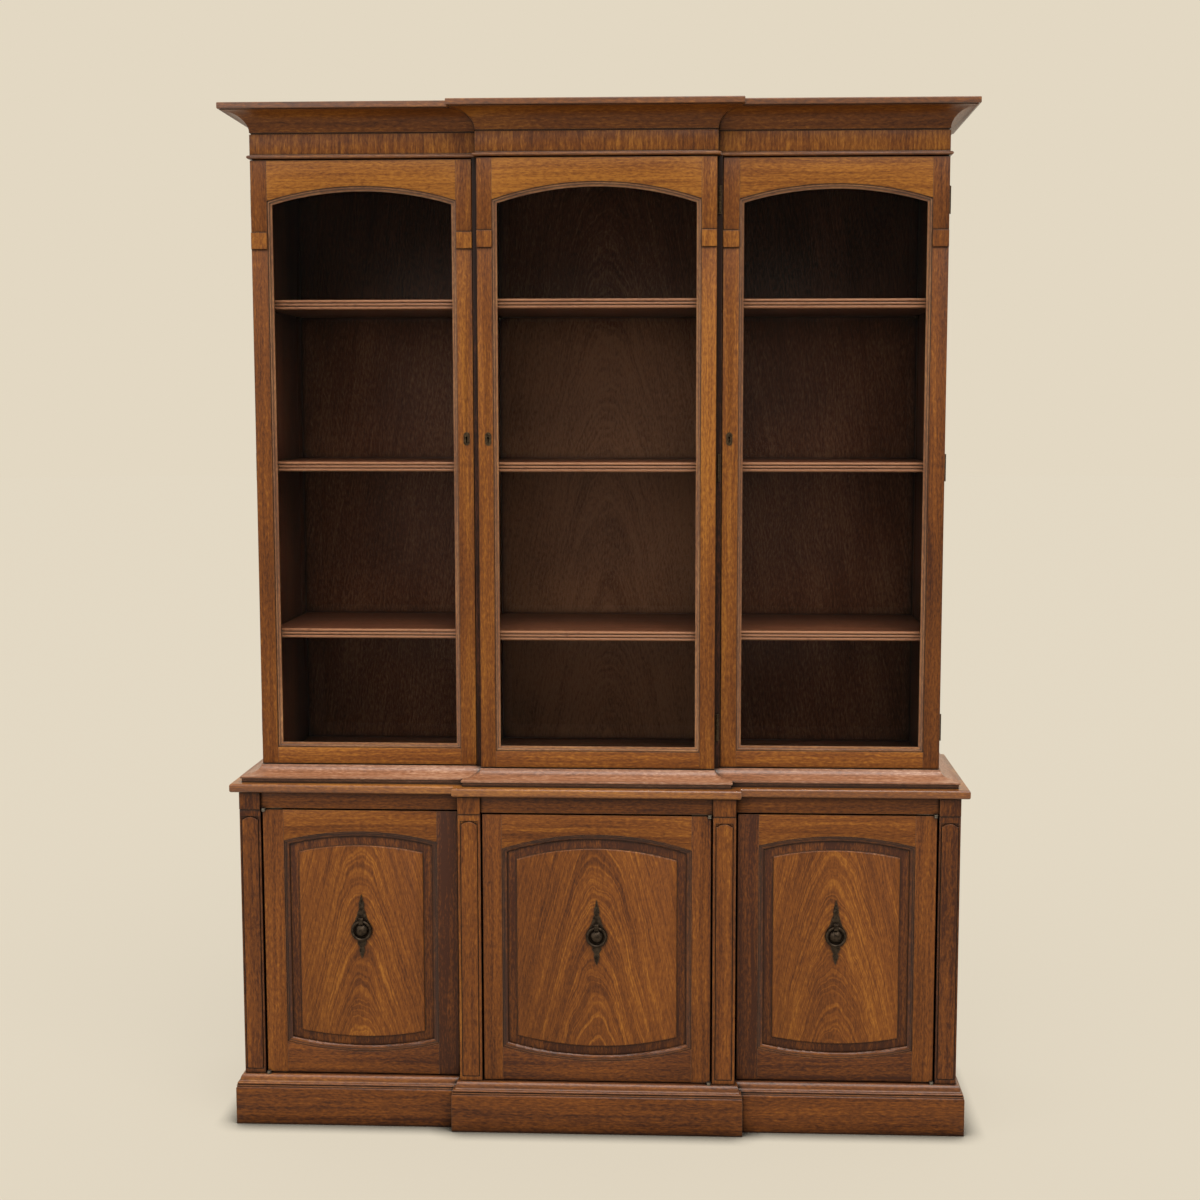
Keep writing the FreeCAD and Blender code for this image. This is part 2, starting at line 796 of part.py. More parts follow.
def upper_case(recesses):
    """The case that the glass doors hang on; recesses are the hinge and lock cuts, by piece."""
    levels = [upper_floor_top + rise for rise in (S.low_shelf, S.middle_shelf, S.high_shelf)]
    shelf_rear = panel_front - S.shelf_back_gap
    side_front = case_front + S.shelf_setback
    spots = pin_spots(levels, side_front, shelf_rear)
    all_pins = []

    holes = []
    screws = []
    for x, y in screw_spots():
        low = slab_top - S.screw_bite
        shank = rod("screw_shank", S.screw_radius, "z", (x, y, low), upper_floor_top - low)
        head = doc.addObject("Part::Cone", "screw_head")
        bind(head, Radius1=S.screw_radius, Radius2=S.screw_head, Height=S.screw_head_depth)
        place(head, x, y, upper_floor_top - S.screw_head_depth)
        screws.append(fuse("joining_screw", shank, head))
        holes.append(screws[-1])
    floor = breakfront_board("upper_floor_board", waist_outline, upper_floor_bottom, S.upper_floor_thick)
    node("upper_floor", cut("upper_floor_cut", floor, *holes))
    node("joining_screws", *screws)

    ends = []
    for side in (-1, 1):
        blank = board("upper_end_blank", side_span(side, end_inner, case_half), (case_front, back),
                      (upper_floor_top, ends_top))
        wall = side * end_inner
        ends.append(cut("upper_end", blank, *pin_holes(wall, -side, spots), *recesses["end", side]))
        all_pins += pins(wall, -side, spots)
    node("upper_ends", *ends)

    partitions = []
    partition_front = door_face - S.step + S.door_thick + S.door_space
    for side in (-1, 1):
        blank = board("upper_partition_blank", side_span(side, partition_inner, partition_outer),
                      (partition_front, panel_front), (upper_floor_top, ends_top))
        foot_notch = board("partition_foot_notch",
                           side_span(side, S.waist_centre / 2, partition_outer + S.overrun),
                           (partition_front - S.overrun, door_face), (floor_top, slab_top + S.waist_mould_height))
        faces = ((side * partition_inner, -side), (side * partition_outer, side))
        tools = [hole for wall, inward in faces for hole in pin_holes(wall, inward, spots)]
        partitions.append(cut("upper_partition", blank, foot_notch, *tools, *recesses["partition", side]))
        all_pins += [pin for wall, inward in faces for pin in pins(wall, inward, spots)]
    node("upper_partitions", *partitions)

    node("upper_back", board("upper_back_panel", (-end_inner, end_inner), (panel_front, back),
                             (upper_floor_top, ends_top)))
    inset = S.frieze_thick
    node("upper_top", breakfront_board("upper_top_board", breakfront(
        case_half - inset, door_face + inset, S.frieze_centre / 2 - inset, back), ends_top, S.top_thick))

    bays = {
        "left": (*side_span(-1, partition_outer, end_inner), side_front),
        "centre": (-partition_inner, partition_inner, side_front - S.step),
        "right": (*side_span(1, partition_outer, end_inner), side_front),
    }
    for bay, (low, high, front) in bays.items():
        node("shelves_" + bay, *[reeded_shelf((low + S.shelf_gap, high - S.shelf_gap), (front, shelf_rear), level)
                                 for level in levels])
    return all_pins


def reeded_shelf(x, y, level):
    """A shelf whose front edge is three reeds, one above the other."""
    reed = S.shelf_thick / (2 * REEDS)
    body = board("shelf_body", x, (y[0] + reed, y[1]), (level, level + S.shelf_thick))
    reeds = [rod("shelf_reed", reed, "x", (x[0], y[0] + reed, level + reed * (2 * count + 1)), x[1] - x[0])
             for count in range(REEDS)]
    return fuse("shelf", body, *reeds)


# Cornice

def cornice():
    node("frieze_bead", mitred_runs("bead_runs", frieze_outline, [
        (-S.frieze_thick, ends_top),
        (0, ends_top),
        (0, ends_top + S.bead_round, S.bead_reach, ends_top + S.bead_round),
        (0, ends_top + S.bead_round, 0, ends_top + 2 * S.bead_round),
        (0, frieze_bottom),
        (-S.frieze_thick, frieze_bottom),
    ]))
    boards = mitred_runs("frieze_runs", frieze_outline, [
        (-S.frieze_thick, frieze_bottom), (0, frieze_bottom), (0, frieze_top), (-S.frieze_thick, frieze_top),
    ])
    inside = case_half - S.frieze_thick
    rear = board("cornice_rear", (-inside, inside), (back - S.frieze_thick, back),
                 (ends_top + S.top_thick, cornice_bottom))
    node("frieze_boards", boards, rear)
    node("cornice_cove", mitred_runs("cove_runs", frieze_outline, [
        (-S.frieze_thick, frieze_top),
        (-S.neck_depth, frieze_top),
        (-S.neck_depth, cove_bottom),
        (0, cove_bottom),
        (S.cove_reach, cove_bottom, S.cove_reach, cove_top),
        (S.cove_lip, cove_top),
        (S.cove_lip, cornice_bottom),
        (-S.frieze_thick, cornice_bottom),
    ]))
    corners = breakfront(case_half + S.cornice_reach, door_face - S.cornice_reach,
                         S.frieze_centre / 2 + S.cornice_reach, back)
    node("cornice_top", breakfront_board("cornice_board", corners, cornice_bottom, S.cornice_thick,
                                         [(S.cornice_round, rim(back, 0)),
                                          (S.cornice_round, rim(back, S.cornice_thick))]))


# Arched openings

class Opening:
    """An opening with straight sides, an arched head and a straight or bowed foot."""

    def __init__(self, low, high, foot, crown, radius, bow_radius=None):
        self.low, self.high = low, high
        self.foot, self.crown = foot, crown
        self.radius, self.bow_radius = radius, bow_radius
        self.middle = (low + high) / 2
        self.half = (high - low) / 2

    def head(self, label, inset, y):
        """The cylinder under the arch, its radius less by the inset."""
        return rod(label, self.radius - inset, "y", (self.middle, y[0], self.crown - self.radius), y[1] - y[0])

    def bow(self, label, inset, y):
        return rod(label, self.bow_radius - inset, "y", (self.middle, y[0], self.foot + self.bow_radius),
                   y[1] - y[0])

    def plate(self, label, inset, y):
        """A plate that fills the opening, less an inset all round."""
        bottom = self.foot - S.overrun if self.bow_radius else self.foot + inset
        shapes = [board(label + "_board", (self.low + inset, self.high - inset), y, (bottom, self.crown + S.overrun)),
                  self.head(label + "_head", inset, y)]
        if self.bow_radius:
            shapes.append(self.bow(label + "_bow", inset, y))
        return common(label, *shapes)

    def ring(self, label, outer, inner, y):
        """A frame that follows the opening between two insets."""
        through = (y[0] - S.overrun, y[1] + S.overrun)
        return cut(label, self.plate(label + "_outer", outer, y), self.plate(label + "_inner", inner, through))

    def corner_rise(self, radius):
        """How far an arc over the opening rises from its corners."""
        return radius - root(radius * radius - self.half * self.half)

    def outline(self, inset):
        """The opening's outline less an inset, about its middle and its foot, for a sketch."""
        half = self.half - inset
        top_radius, low_radius = self.radius - inset, self.bow_radius - inset
        top_centre = self.crown - self.radius - self.foot
        top_corner = top_centre + root(top_radius * top_radius - half * half)
        low_corner = self.bow_radius - root(low_radius * low_radius - half * half)
        return [(0, inset, half, low_corner), (half, top_corner),
                (0, self.crown - self.foot - inset, -half, top_corner), (-half, low_corner)]


def door_frame(label, x, z, face, stile, opening, stile_cuts):
    """Stiles and rails round an opening; stile_cuts are the cuts in each stile, by side."""
    rear = face + S.door_thick
    stiles = []
    for side, span in ((-1, (x[0], x[0] + stile)), (1, (x[1] - stile, x[1]))):
        edge_x = x[0] if side < 0 else x[1]
        blank = eased(label + "_stile_eased", board(label + "_stile_blank", span, (face, rear), z),
                      S.door_round, lambda edge: lies_at(edge, x=edge_x, y=face))
        cuts = stile_cuts[side]
        stiles.append(cut(label + "_stile", blank, *cuts) if cuts else blank)
    across = (x[0] + stile, x[1] - stile)
    through = (face - S.overrun, rear + S.overrun)
    head_foot = opening.crown - opening.corner_rise(opening.radius)
    head_blank = board(label + "_head_blank", across, (face, rear), (head_foot, z[1]))
    head = cut(label + "_head", head_blank, opening.head(label + "_arch", 0, through))
    if opening.bow_radius:
        foot_top = opening.foot + opening.corner_rise(opening.bow_radius)
        foot_blank = board(label + "_foot_blank", across, (face, rear), (z[0], foot_top))
        foot = cut(label + "_foot", foot_blank, opening.bow(label + "_bow", 0, through))
    else:
        foot = board(label + "_foot", across, (face, rear), (z[0], opening.foot))
    return stiles + [head, foot]


# Butt hinges of the glass doors

def butt_hinge(axis_x, axis_y, level, door_leaf, case_leaf, door_tab, case_tab):
    """One hinge: the door's half with the pin, and the case's half.

    Leaves are (x pair, y pair). Tabs are the same, and join a leaf to its own knuckles.
    """
    bottom = level - S.hinge_length / 2
    pitch = S.hinge_length / KNUCKLES
    span = (bottom, bottom + S.hinge_length)
    door_plate = board("door_leaf_plate", *door_leaf, span)
    case_plate = board("case_leaf_plate", *case_leaf, span)
    door_parts = [door_plate, rod("hinge_pin", S.hinge_pin_radius, "z", (axis_x, axis_y, bottom), S.hinge_length)]
    case_parts = [case_plate]
    for count in range(KNUCKLES):
        low = bottom + pitch * count + S.knuckle_gap / 2
        tall = pitch - S.knuckle_gap
        parts, tab = (case_parts, case_tab) if count % 2 else (door_parts, door_tab)
        parts.append(rod("knuckle", S.knuckle_radius, "z", (axis_x, axis_y, low), tall))
        parts.append(board("knuckle_tab", *tab, (low, low + tall)))
    case_half_hinge = cut("case_leaf", fuse("case_leaf_blank", *case_parts), rod(
        "pin_bore", S.hinge_pin_radius + S.pin_clear, "z", (axis_x, axis_y, bottom - S.overrun),
        S.hinge_length + 2 * S.overrun))
    return fuse("door_leaf", *door_parts), case_half_hinge, door_plate, case_plate


def hinge_levels():
    return [door_bottom + S.hinge_inset, (door_bottom + door_top) / 2, door_top - S.hinge_inset]


# Cupboard locks

def lock(label, free_edge, into_case, key_edge_inset, face):
    """Lock case, bolt and escutcheon, with the cuts for them in the stile.

    into_case is 1 where the bolt slides towards +X and -1 towards -X.
    """
    rear = face + S.door_thick
    level = door_bottom + S.lock_height
    near_x = free_edge - into_case * key_edge_inset
    far_x = near_x - into_case * S.lock_width
    low_x, high_x = (far_x, near_x) if into_case > 0 else (near_x, far_x)
    bolt_far = near_x - into_case * S.bolt_length
    bolt_x = (bolt_far, near_x) if into_case > 0 else (near_x, bolt_far)
    bolt_y = (rear + S.bolt_depth, rear + S.bolt_depth + S.bolt_thick)
    bolt_z = (level - S.bolt_tall / 2, level + S.bolt_tall / 2)
    clear = S.bolt_clear
    channel_x = (bolt_x[0] - (0 if into_case > 0 else S.overrun), bolt_x[1] + (S.overrun if into_case > 0 else 0))
    channel = board(label + "_channel", channel_x, (bolt_y[0] - clear, bolt_y[1] + clear),
                    (bolt_z[0] - clear, bolt_z[1] + clear))
    casing = cut(label + "_casing", board(label + "_block", (low_x, high_x), (rear, rear + S.lock_thick),
                                          (level - S.lock_tall / 2, level + S.lock_tall / 2)), channel)
    bolt = board(label + "_bolt_bar", bolt_x, bolt_y, bolt_z)

    key_x = (low_x + high_x) / 2
    plate_half = S.key_width / 2
    straight = S.key_height / 2 - plate_half
    plate = padded(label + "_key_plate", "XZ_Plane", [
        (plate_half, straight), (0, S.key_height / 2, -plate_half, straight),
        (-plate_half, -straight), (0, -S.key_height / 2, plate_half, -straight),
    ], S.key_thick, (key_x, face, level))
    through = (face - S.overrun, rear)
    hole = rod(label + "_keyhole", S.keyhole_radius, "y", (key_x, through[0], level + S.keyhole_radius),
               through[1] - through[0])
    slot = board(label + "_key_slot", (key_x - S.keyhole_slot / 2, key_x + S.keyhole_slot / 2), through,
                 (level - S.keyhole_length, level + S.keyhole_radius))
    escutcheon = cut(label + "_escutcheon", plate, hole, slot)

    return casing, bolt, escutcheon, [hole, slot], (bolt_y, bolt_z)


def mortise(label, wall, into_case, bolt_y, bolt_z):
    """The bolt's hole in a partition's face."""
    deep = wall + into_case * S.mortise_depth
    outside = wall - into_case * S.overrun
    x = (outside, deep) if into_case > 0 else (deep, outside)
    clear = S.mortise_clear
    return board(label, x, (bolt_y[0] - clear, bolt_y[1] + clear), (bolt_z[0] - clear, bolt_z[1] + clear))


# Glass doors

def glass_door(name, x, face, stile, crown, hinge_side, hinge_parts, key_inset):
    """One glass door; hinge_side is -1 on the left and 1 on the right."""
    z = (door_bottom, door_top)
    opening = Opening(x[0] + stile, x[1] - stile, door_bottom + S.foot_rail, door_top - crown, S.arch_radius)
    into_case = -hinge_side
    free_edge = x[0] if into_case < 0 else x[1]
    casing, bolt, escutcheon, key_cuts, bolt_span = lock(name + "_lock", free_edge, into_case, key_inset, face)
    block_top = door_top - S.block_drop
    grooves = {side: [board(name + "_groove", (edge - stile - S.overrun, edge + stile + S.overrun),
                            (face - S.overrun, face + S.block_groove_depth),
                            (block_top, block_top + S.block_groove))]
               for side, edge in ((-1, x[0]), (1, x[1]))}
    for side in grooves:
        grooves[side] += hinge_parts["door_plates"] if side == hinge_side else key_cuts
    frame = door_frame(name, x, z, face, stile, opening, grooves)
    blocks = [padded(name + "_block", "XZ_Plane", [
        (-stile / 2, 0), (stile / 2, 0), (stile / 2, S.block_height), (-stile / 2, S.block_height),
    ], S.block_proud, (middle, face, block_top - S.block_height),
        [(S.block_round, on_front(S.block_proud))]) for middle in (x[0] + stile / 2, x[1] - stile / 2)]
    node(name + "_frame", *frame, *blocks)

    glass_y = (face + S.glass_depth, face + S.glass_depth + S.glass_thick)
    upper = opening.ring(name + "_sight_upper", 0, S.sight_step, (face + S.sight_upper, glass_y[0]))
    lower = opening.ring(name + "_sight_lower", S.sight_step, S.sight_width, (face + S.sight_lower, glass_y[0]))
    bead = opening.ring(name + "_glass_bead", 0, S.bead_width, (glass_y[1], glass_y[1] + S.bead_thick))
    node(name + "_mouldings", fuse(name + "_sight", upper, lower), bead)
    node(name + "_glass", opening.plate(name + "_pane", S.glass_clear, glass_y))
    node(name + "_hinges", *hinge_parts["door_leaves"])
    node(name + "_lock", casing, escutcheon)
    node(name + "_bolt", bolt)
    return bolt_span


def side_hinges(side):
    """The three hinges at an outer corner of the case."""
    axis_x = side * (case_half + S.knuckle_radius + S.knuckle_clear)
    axis_y = door_face + S.door_thick + S.door_space / 2
    leaf_x = side_span(side, case_half - S.leaf_width, case_half)
    tab_x = side_span(side, case_half, case_half + S.knuckle_radius + S.knuckle_clear)
    door_y = (door_face + S.door_thick - S.leaf_thick, door_face + S.door_thick)
    case_y = (case_front, case_front + S.leaf_thick)
    return [butt_hinge(axis_x, axis_y, level, (leaf_x, door_y), (leaf_x, case_y), (tab_x, door_y), (tab_x, case_y))
            for level in hinge_levels()]


def centre_hinges(door_edge):
    """The three hinges of the centre door, on the front edge of the right-hand partition."""
    partition_front = door_face - S.step + S.door_thick + S.door_space
    rear = partition_front - S.door_space
    axis_x = door_edge + S.centre_axis_out
    axis_y = partition_front - S.knuckle_radius - S.knuckle_clear / 2
    leaf_x = (door_edge - S.leaf_width, door_edge)
    case_edge = partition_outer - S.case_leaf_inset
    case_x = (case_edge - S.case_leaf_width, case_edge)
    door_y = (rear - S.leaf_thick, rear)
    case_y = (partition_front, partition_front + S.leaf_thick)
    tab_half = S.knuckle_radius / 2
    return [butt_hinge(axis_x, axis_y, level, (leaf_x, door_y), (case_x, case_y), ((door_edge, axis_x), door_y),
                       ((axis_x - tab_half, axis_x + tab_half), (axis_y, partition_front)))
            for level in hinge_levels()]


def split_hinges(hinges):
    door_leaves, case_leaves, door_plates, case_plates = (list(column) for column in zip(*hinges))
    return {"door_leaves": door_leaves, "case_leaves": case_leaves, "door_plates": door_plates,
            "case_plates": case_plates}


def glass_doors():
    """All three glass doors, and the cuts that their hinges and bolts need in the case."""
    centre_half = partition_inner + S.centre_overlay
    side_inner = partition_outer + S.side_gap
    hinges = {"left": split_hinges(side_hinges(-1)), "centre": split_hinges(centre_hinges(centre_half)),
              "right": split_hinges(side_hinges(1))}
    bolts = {
        "left": glass_door("door_left", side_span(-1, side_inner, case_half), door_face, S.side_stile, S.side_crown,
                           -1, hinges["left"], S.lock_inset),
        "centre": glass_door("door_centre", (-centre_half, centre_half), door_face - S.step, S.centre_stile,
                             S.centre_crown, 1, hinges["centre"], S.centre_lock_inset),
        "right": glass_door("door_right", side_span(1, side_inner, case_half), door_face, S.side_stile, S.side_crown,
                            1, hinges["right"], S.lock_inset),
    }
    node("case_hinge_leaves", *[leaf for parts in hinges.values() for leaf in parts["case_leaves"]])
    return {
        ("end", -1): hinges["left"]["case_plates"],
        ("end", 1): hinges["right"]["case_plates"],
        ("partition", -1): [mortise("left_mortise", -partition_outer, 1, *bolts["left"]),
                            mortise("centre_mortise", -partition_inner, -1, *bolts["centre"])],
        ("partition", 1): [mortise("right_mortise", partition_outer, -1, *bolts["right"])]
        + hinges["centre"]["case_plates"],
    }


# Cupboard doors

def knife_leaf(label, pivot_x, pivot_y, inward, face, z):
    """A knife hinge's leaf: a plate along the door's end, an arm and an eye in front; inward is -1 or 1."""
    plate_y = (face + S.knife_depth, face + S.knife_depth + S.knife_width)
    far = pivot_x + inward * S.knife_length
    plate_x = (pivot_x - S.knife_eye, far) if inward > 0 else (far, pivot_x + S.knife_eye)
    arm_x = (pivot_x - S.knife_eye, pivot_x + S.knife_eye)
    return fuse(label + "_blank", board(label + "_plate", plate_x, plate_y, z),
                board(label + "_arm", arm_x, (pivot_y, plate_y[1]), z),
                rod(label + "_eye", S.knife_eye, "z", (pivot_x, pivot_y, z[0]), z[1] - z[0]))


def knife_hinges(name, x, face, hinge_side):
    """Top and bottom hinges of a cupboard door: the door's leaves, the case's leaves and the door's cuts."""
    edge = x[1] if hinge_side > 0 else x[0]
    pivot_x = edge - hinge_side * S.pivot_inset
    pivot_y = face - S.pivot_forward
    thick = S.knife_thick
    door_levels = ((cupboard_bottom, cupboard_bottom + thick), (cupboard_top - thick, cupboard_top))
    case_levels = ((floor_top, floor_top + thick), (rail_bottom - thick, rail_bottom))
    pin_spans = ((floor_top, cupboard_bottom + thick), (cupboard_top - thick, rail_bottom))
    door_leaves, case_leaves, blanks = [], [], []
    for door_z, case_z, pin_z in zip(door_levels, case_levels, pin_spans):
        blank = knife_leaf(name + "_knife", pivot_x, pivot_y, -hinge_side, face, door_z)
        bore = rod(name + "_pivot_bore", S.pivot_pin_radius + S.pin_clear, "z",
                   (pivot_x, pivot_y, door_z[0] - S.overrun), thick + 2 * S.overrun)
        door_leaves.append(cut(name + "_knife_leaf", blank, bore))
        blanks.append(blank)
        pin = rod(name + "_pivot_pin", S.pivot_pin_radius, "z", (pivot_x, pivot_y, pin_z[0]), pin_z[1] - pin_z[0])
        case_leaves.append(fuse(name + "_case_leaf", knife_leaf(name + "_case_knife", pivot_x, pivot_y,
                                                                -hinge_side, face, case_z), pin))
    return door_leaves, case_leaves, blanks


def ring_handle(name, x, face):
    """Backplate, boss and eye, and the ring that hangs in the eye."""
    centre_z = (cupboard_bottom + cupboard_top) / 2 + S.plate_rise
    half_width, half_height = S.plate_width / 2, S.plate_height / 2
    right = [tuple(share * length for share, length in zip(entry, (half_width, half_height) * 2))
             for entry in PLATE_SHARES]
    left = []
    for number in range(len(right) - 1, 0, -1):
        entry, previous = right[number], right[number - 1]
        end = (-previous[-2], previous[-1])
        left.append((-entry[0], entry[1], *end) if len(entry) == 4 else end)
    outline = right[1:] + left
    blank = padded(name + "_plate", "XZ_Plane", outline, S.plate_thick, (x, face, centre_z))
    plate_face = face - S.plate_thick
    holes = [rod(name + "_plate_hole", radius, "y",
                 (x + across * half_width, plate_face - S.overrun, centre_z + up * half_height),
                 S.plate_thick + 2 * S.overrun)
             for radius, spots in ((S.nail_hole_radius, NAIL_HOLES), (S.pierced_radius, PIERCED_HOLES))
             for across, up in spots]
    plate = cut(name + "_pierced_plate", blank, *holes)
    sphere_radius = (S.boss_radius * S.boss_radius + S.boss_reach * S.boss_reach) / (2 * S.boss_reach)
    ball = doc.addObject("Part::Sphere", name + "_boss_ball")
    bind(ball, Radius=sphere_radius)
    place(ball, x, plate_face - S.boss_reach + sphere_radius, centre_z)
    around = S.boss_radius + S.overrun
    boss = common(name + "_boss", ball, board(name + "_boss_half", (x - around, x + around),
                                              (plate_face - S.boss_radius, plate_face),
                                              (centre_z - around, centre_z + around)))
    hinge_z = centre_z + S.ring_radius
    hinge_y = plate_face - S.ring_forward
    half_eye = S.eye_width / 2
    eye_front = plate_face - S.eye_reach
    eye_z = hinge_z + S.eye_rise
    eye_block = board(name + "_eye_block", (x - half_eye, x + half_eye), (eye_front, plate_face),
                      (eye_z - S.eye_height / 2, eye_z + S.eye_height / 2))
    eye = cut(name + "_eye", eased(name + "_eye_eased", eye_block, S.eye_round,
                                   lambda edge: lies_at(edge, y=eye_front)),
              rod(name + "_eye_hole", S.eye_hole, "x", (x - S.eye_width, hinge_y, hinge_z), 2 * S.eye_width))
    node(name + "_handle", plate, fuse(name + "_boss_and_eye", boss, eye))
    ring = doc.addObject("Part::Torus", name + "_ring_wire")
    ring.Placement = FreeCAD.Placement(FreeCAD.Vector(), FreeCAD.Rotation(FreeCAD.Vector(1, 0, 0), 90))
    bind(ring, Radius1=S.ring_radius, Radius2=S.ring_wire)
    place(ring, x, hinge_y, centre_z)
    node(name + "_ring", ring)


def cupboard_door(name, x, face, stile, crown, bow, hinge_side):
    z = (cupboard_bottom, cupboard_top)
    opening = Opening(x[0] + stile, x[1] - stile, cupboard_bottom + bow, cupboard_top - crown, S.crown_radius,
                      S.bow_radius)
    door_leaves, case_leaves, blanks = knife_hinges(name, x, face, hinge_side)
    node(name + "_frame", *door_frame(name, x, z, face, stile, opening, {hinge_side: blanks, -hinge_side: []}))

    bed = face + S.panel_depth
    upper = opening.ring(name + "_mould_upper", 0, S.panel_step, (face + S.panel_upper, bed))
    lower = opening.ring(name + "_mould_lower", S.panel_step, S.panel_mould, (face + S.panel_lower, bed))
    lower_face = face + S.panel_lower
    half_mould = S.panel_mould.value / 2

    def inner_edge(edge):
        """Whether a front edge is one of the four round the inside of the moulding."""
        middle = edge.valueAt((edge.FirstParameter + edge.LastParameter) / 2)
        inside = abs(middle.x - opening.middle.value) < opening.half.value - half_mould
        between = opening.foot.value + half_mould < middle.z < opening.crown.value - half_mould
        return lies_at(edge, y=lower_face) and inside and between

    ovolo = eased(name + "_ovolo", lower, S.panel_ovolo, inner_edge)
    panel = opening.plate(name + "_band", 0, (bed, bed + S.panel_thick))
    field = padded(name + "_field", "XZ_Plane", opening.outline(S.field_inset), S.field_rise,
                   (opening.middle, bed, opening.foot),
                   [(S.field_corner, is_corner), (S.field_round, on_front(S.field_rise))])
    node(name + "_panel", panel, field, fuse(name + "_mould", upper, ovolo))
    node(name + "_knife_leaves", *door_leaves)
    ring_handle(name, opening.middle, bed - S.field_rise)
    return case_leaves


def cupboards():
    side_x = (base_centre_half + S.cupboard_gap, pilaster_inner - S.cupboard_gap)
    centre = post_inner - S.cupboard_gap
    leaves = []
    for side, name in ((-1, "cupboard_left"), (1, "cupboard_right")):
        leaves += cupboard_door(name, side_span(side, *side_x), cupboard_face, S.cupboard_stile, S.cupboard_crown,
                                S.cupboard_bow, side)
    leaves += cupboard_door("cupboard_centre", (-centre, centre), cupboard_face - S.step, S.cupboard_centre_stile,
                            S.cupboard_centre_crown, S.cupboard_centre_bow, 1)
    node("case_knife_leaves", *leaves)


plinth()
shelf_pins = base_case()
pilasters()
waist()
case_cuts = glass_doors()
shelf_pins += upper_case(case_cuts)
node("shelf_pins", *shelf_pins)
cornice()
cupboards()
doc.recompute()

for item in doc.Objects:
    faults = [word for word in item.State if word in ("Invalid", "Error")]
    if faults:
        raise SystemExit(f"{item.Label} did not build: {faults}")
for item in nodes:
    if item.Shape.isNull() or not item.Shape.isValid():
        raise SystemExit(f"{item.Label} has no valid shape")

os.makedirs("parts", exist_ok=True)
for item in nodes:
    item.Shape.exportStep(f"parts/{item.Label}.step")
print(len(nodes), "nodes,", sum(len(item.Shape.Solids) for item in nodes), "solids")
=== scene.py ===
import json
import math
import random

import bmesh
import bpy
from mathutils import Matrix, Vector


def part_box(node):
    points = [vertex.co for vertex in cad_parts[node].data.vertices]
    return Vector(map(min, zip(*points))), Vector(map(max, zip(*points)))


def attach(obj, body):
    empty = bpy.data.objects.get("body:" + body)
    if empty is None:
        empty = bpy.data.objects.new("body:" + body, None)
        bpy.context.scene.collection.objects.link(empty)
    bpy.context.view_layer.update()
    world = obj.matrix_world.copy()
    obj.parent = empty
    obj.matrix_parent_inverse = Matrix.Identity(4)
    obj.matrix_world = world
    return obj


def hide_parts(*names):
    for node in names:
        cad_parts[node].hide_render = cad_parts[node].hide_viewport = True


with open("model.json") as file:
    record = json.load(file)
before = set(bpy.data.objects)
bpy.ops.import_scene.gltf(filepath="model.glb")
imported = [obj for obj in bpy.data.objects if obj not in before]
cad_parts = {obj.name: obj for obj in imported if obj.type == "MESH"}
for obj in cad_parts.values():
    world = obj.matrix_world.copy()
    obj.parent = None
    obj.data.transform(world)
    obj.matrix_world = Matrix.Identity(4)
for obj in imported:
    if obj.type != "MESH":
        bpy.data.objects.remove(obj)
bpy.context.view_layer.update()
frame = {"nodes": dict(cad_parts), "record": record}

# The looks of a breakfront hutch: waxed brown wood, old glass and dark bronze.
# Everything is in metres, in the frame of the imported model: Z up, the front towards -Y.

RECORD = frame["record"]
BODY_OF = {node: body for body, nodes in RECORD["behaviour"]["bodies"].items() for node in nodes}
SLOT_OF = {entry["node"]: entry["material_slot"] for entry in RECORD["subparts"]}
MM = 0.001
random.seed(7)

# The photograph's view, in its own 1200-pixel frame

FRAME_PIXELS = 1200
FOCAL_PIXELS = 1745.0
PRINCIPAL_PIXEL = (627.6, 598.7)
EYE = (0.2174, -3.6510, 1.4708)
YAW_LEFT_DEG = 2.544
PITCH_DOWN_DEG = 6.006
SENSOR_MM = 36.0


def srgb(red, green, blue, alpha=1.0):
    """A colour as a picture's 0 to 255 values, turned into the linear values that shaders take."""
    def linear(level):
        share = level / 255
        return share / 12.92 if share <= 0.04045 else ((share + 0.055) / 1.055) ** 2.4
    return (linear(red), linear(green), linear(blue), alpha)


def make_camera():
    lens = bpy.data.cameras.new("view")
    lens.sensor_width = SENSOR_MM
    lens.lens = FOCAL_PIXELS / FRAME_PIXELS * SENSOR_MM
    lens.shift_x = (FRAME_PIXELS / 2 - PRINCIPAL_PIXEL[0]) / FRAME_PIXELS
    lens.shift_y = (PRINCIPAL_PIXEL[1] - FRAME_PIXELS / 2) / FRAME_PIXELS
    camera = bpy.data.objects.new("view", lens)
    camera.location = EYE
    camera.rotation_euler = (math.radians(90 - PITCH_DOWN_DEG), 0, math.radians(YAW_LEFT_DEG))
    bpy.context.scene.collection.objects.link(camera)
    bpy.context.scene.camera = camera


# Node trees

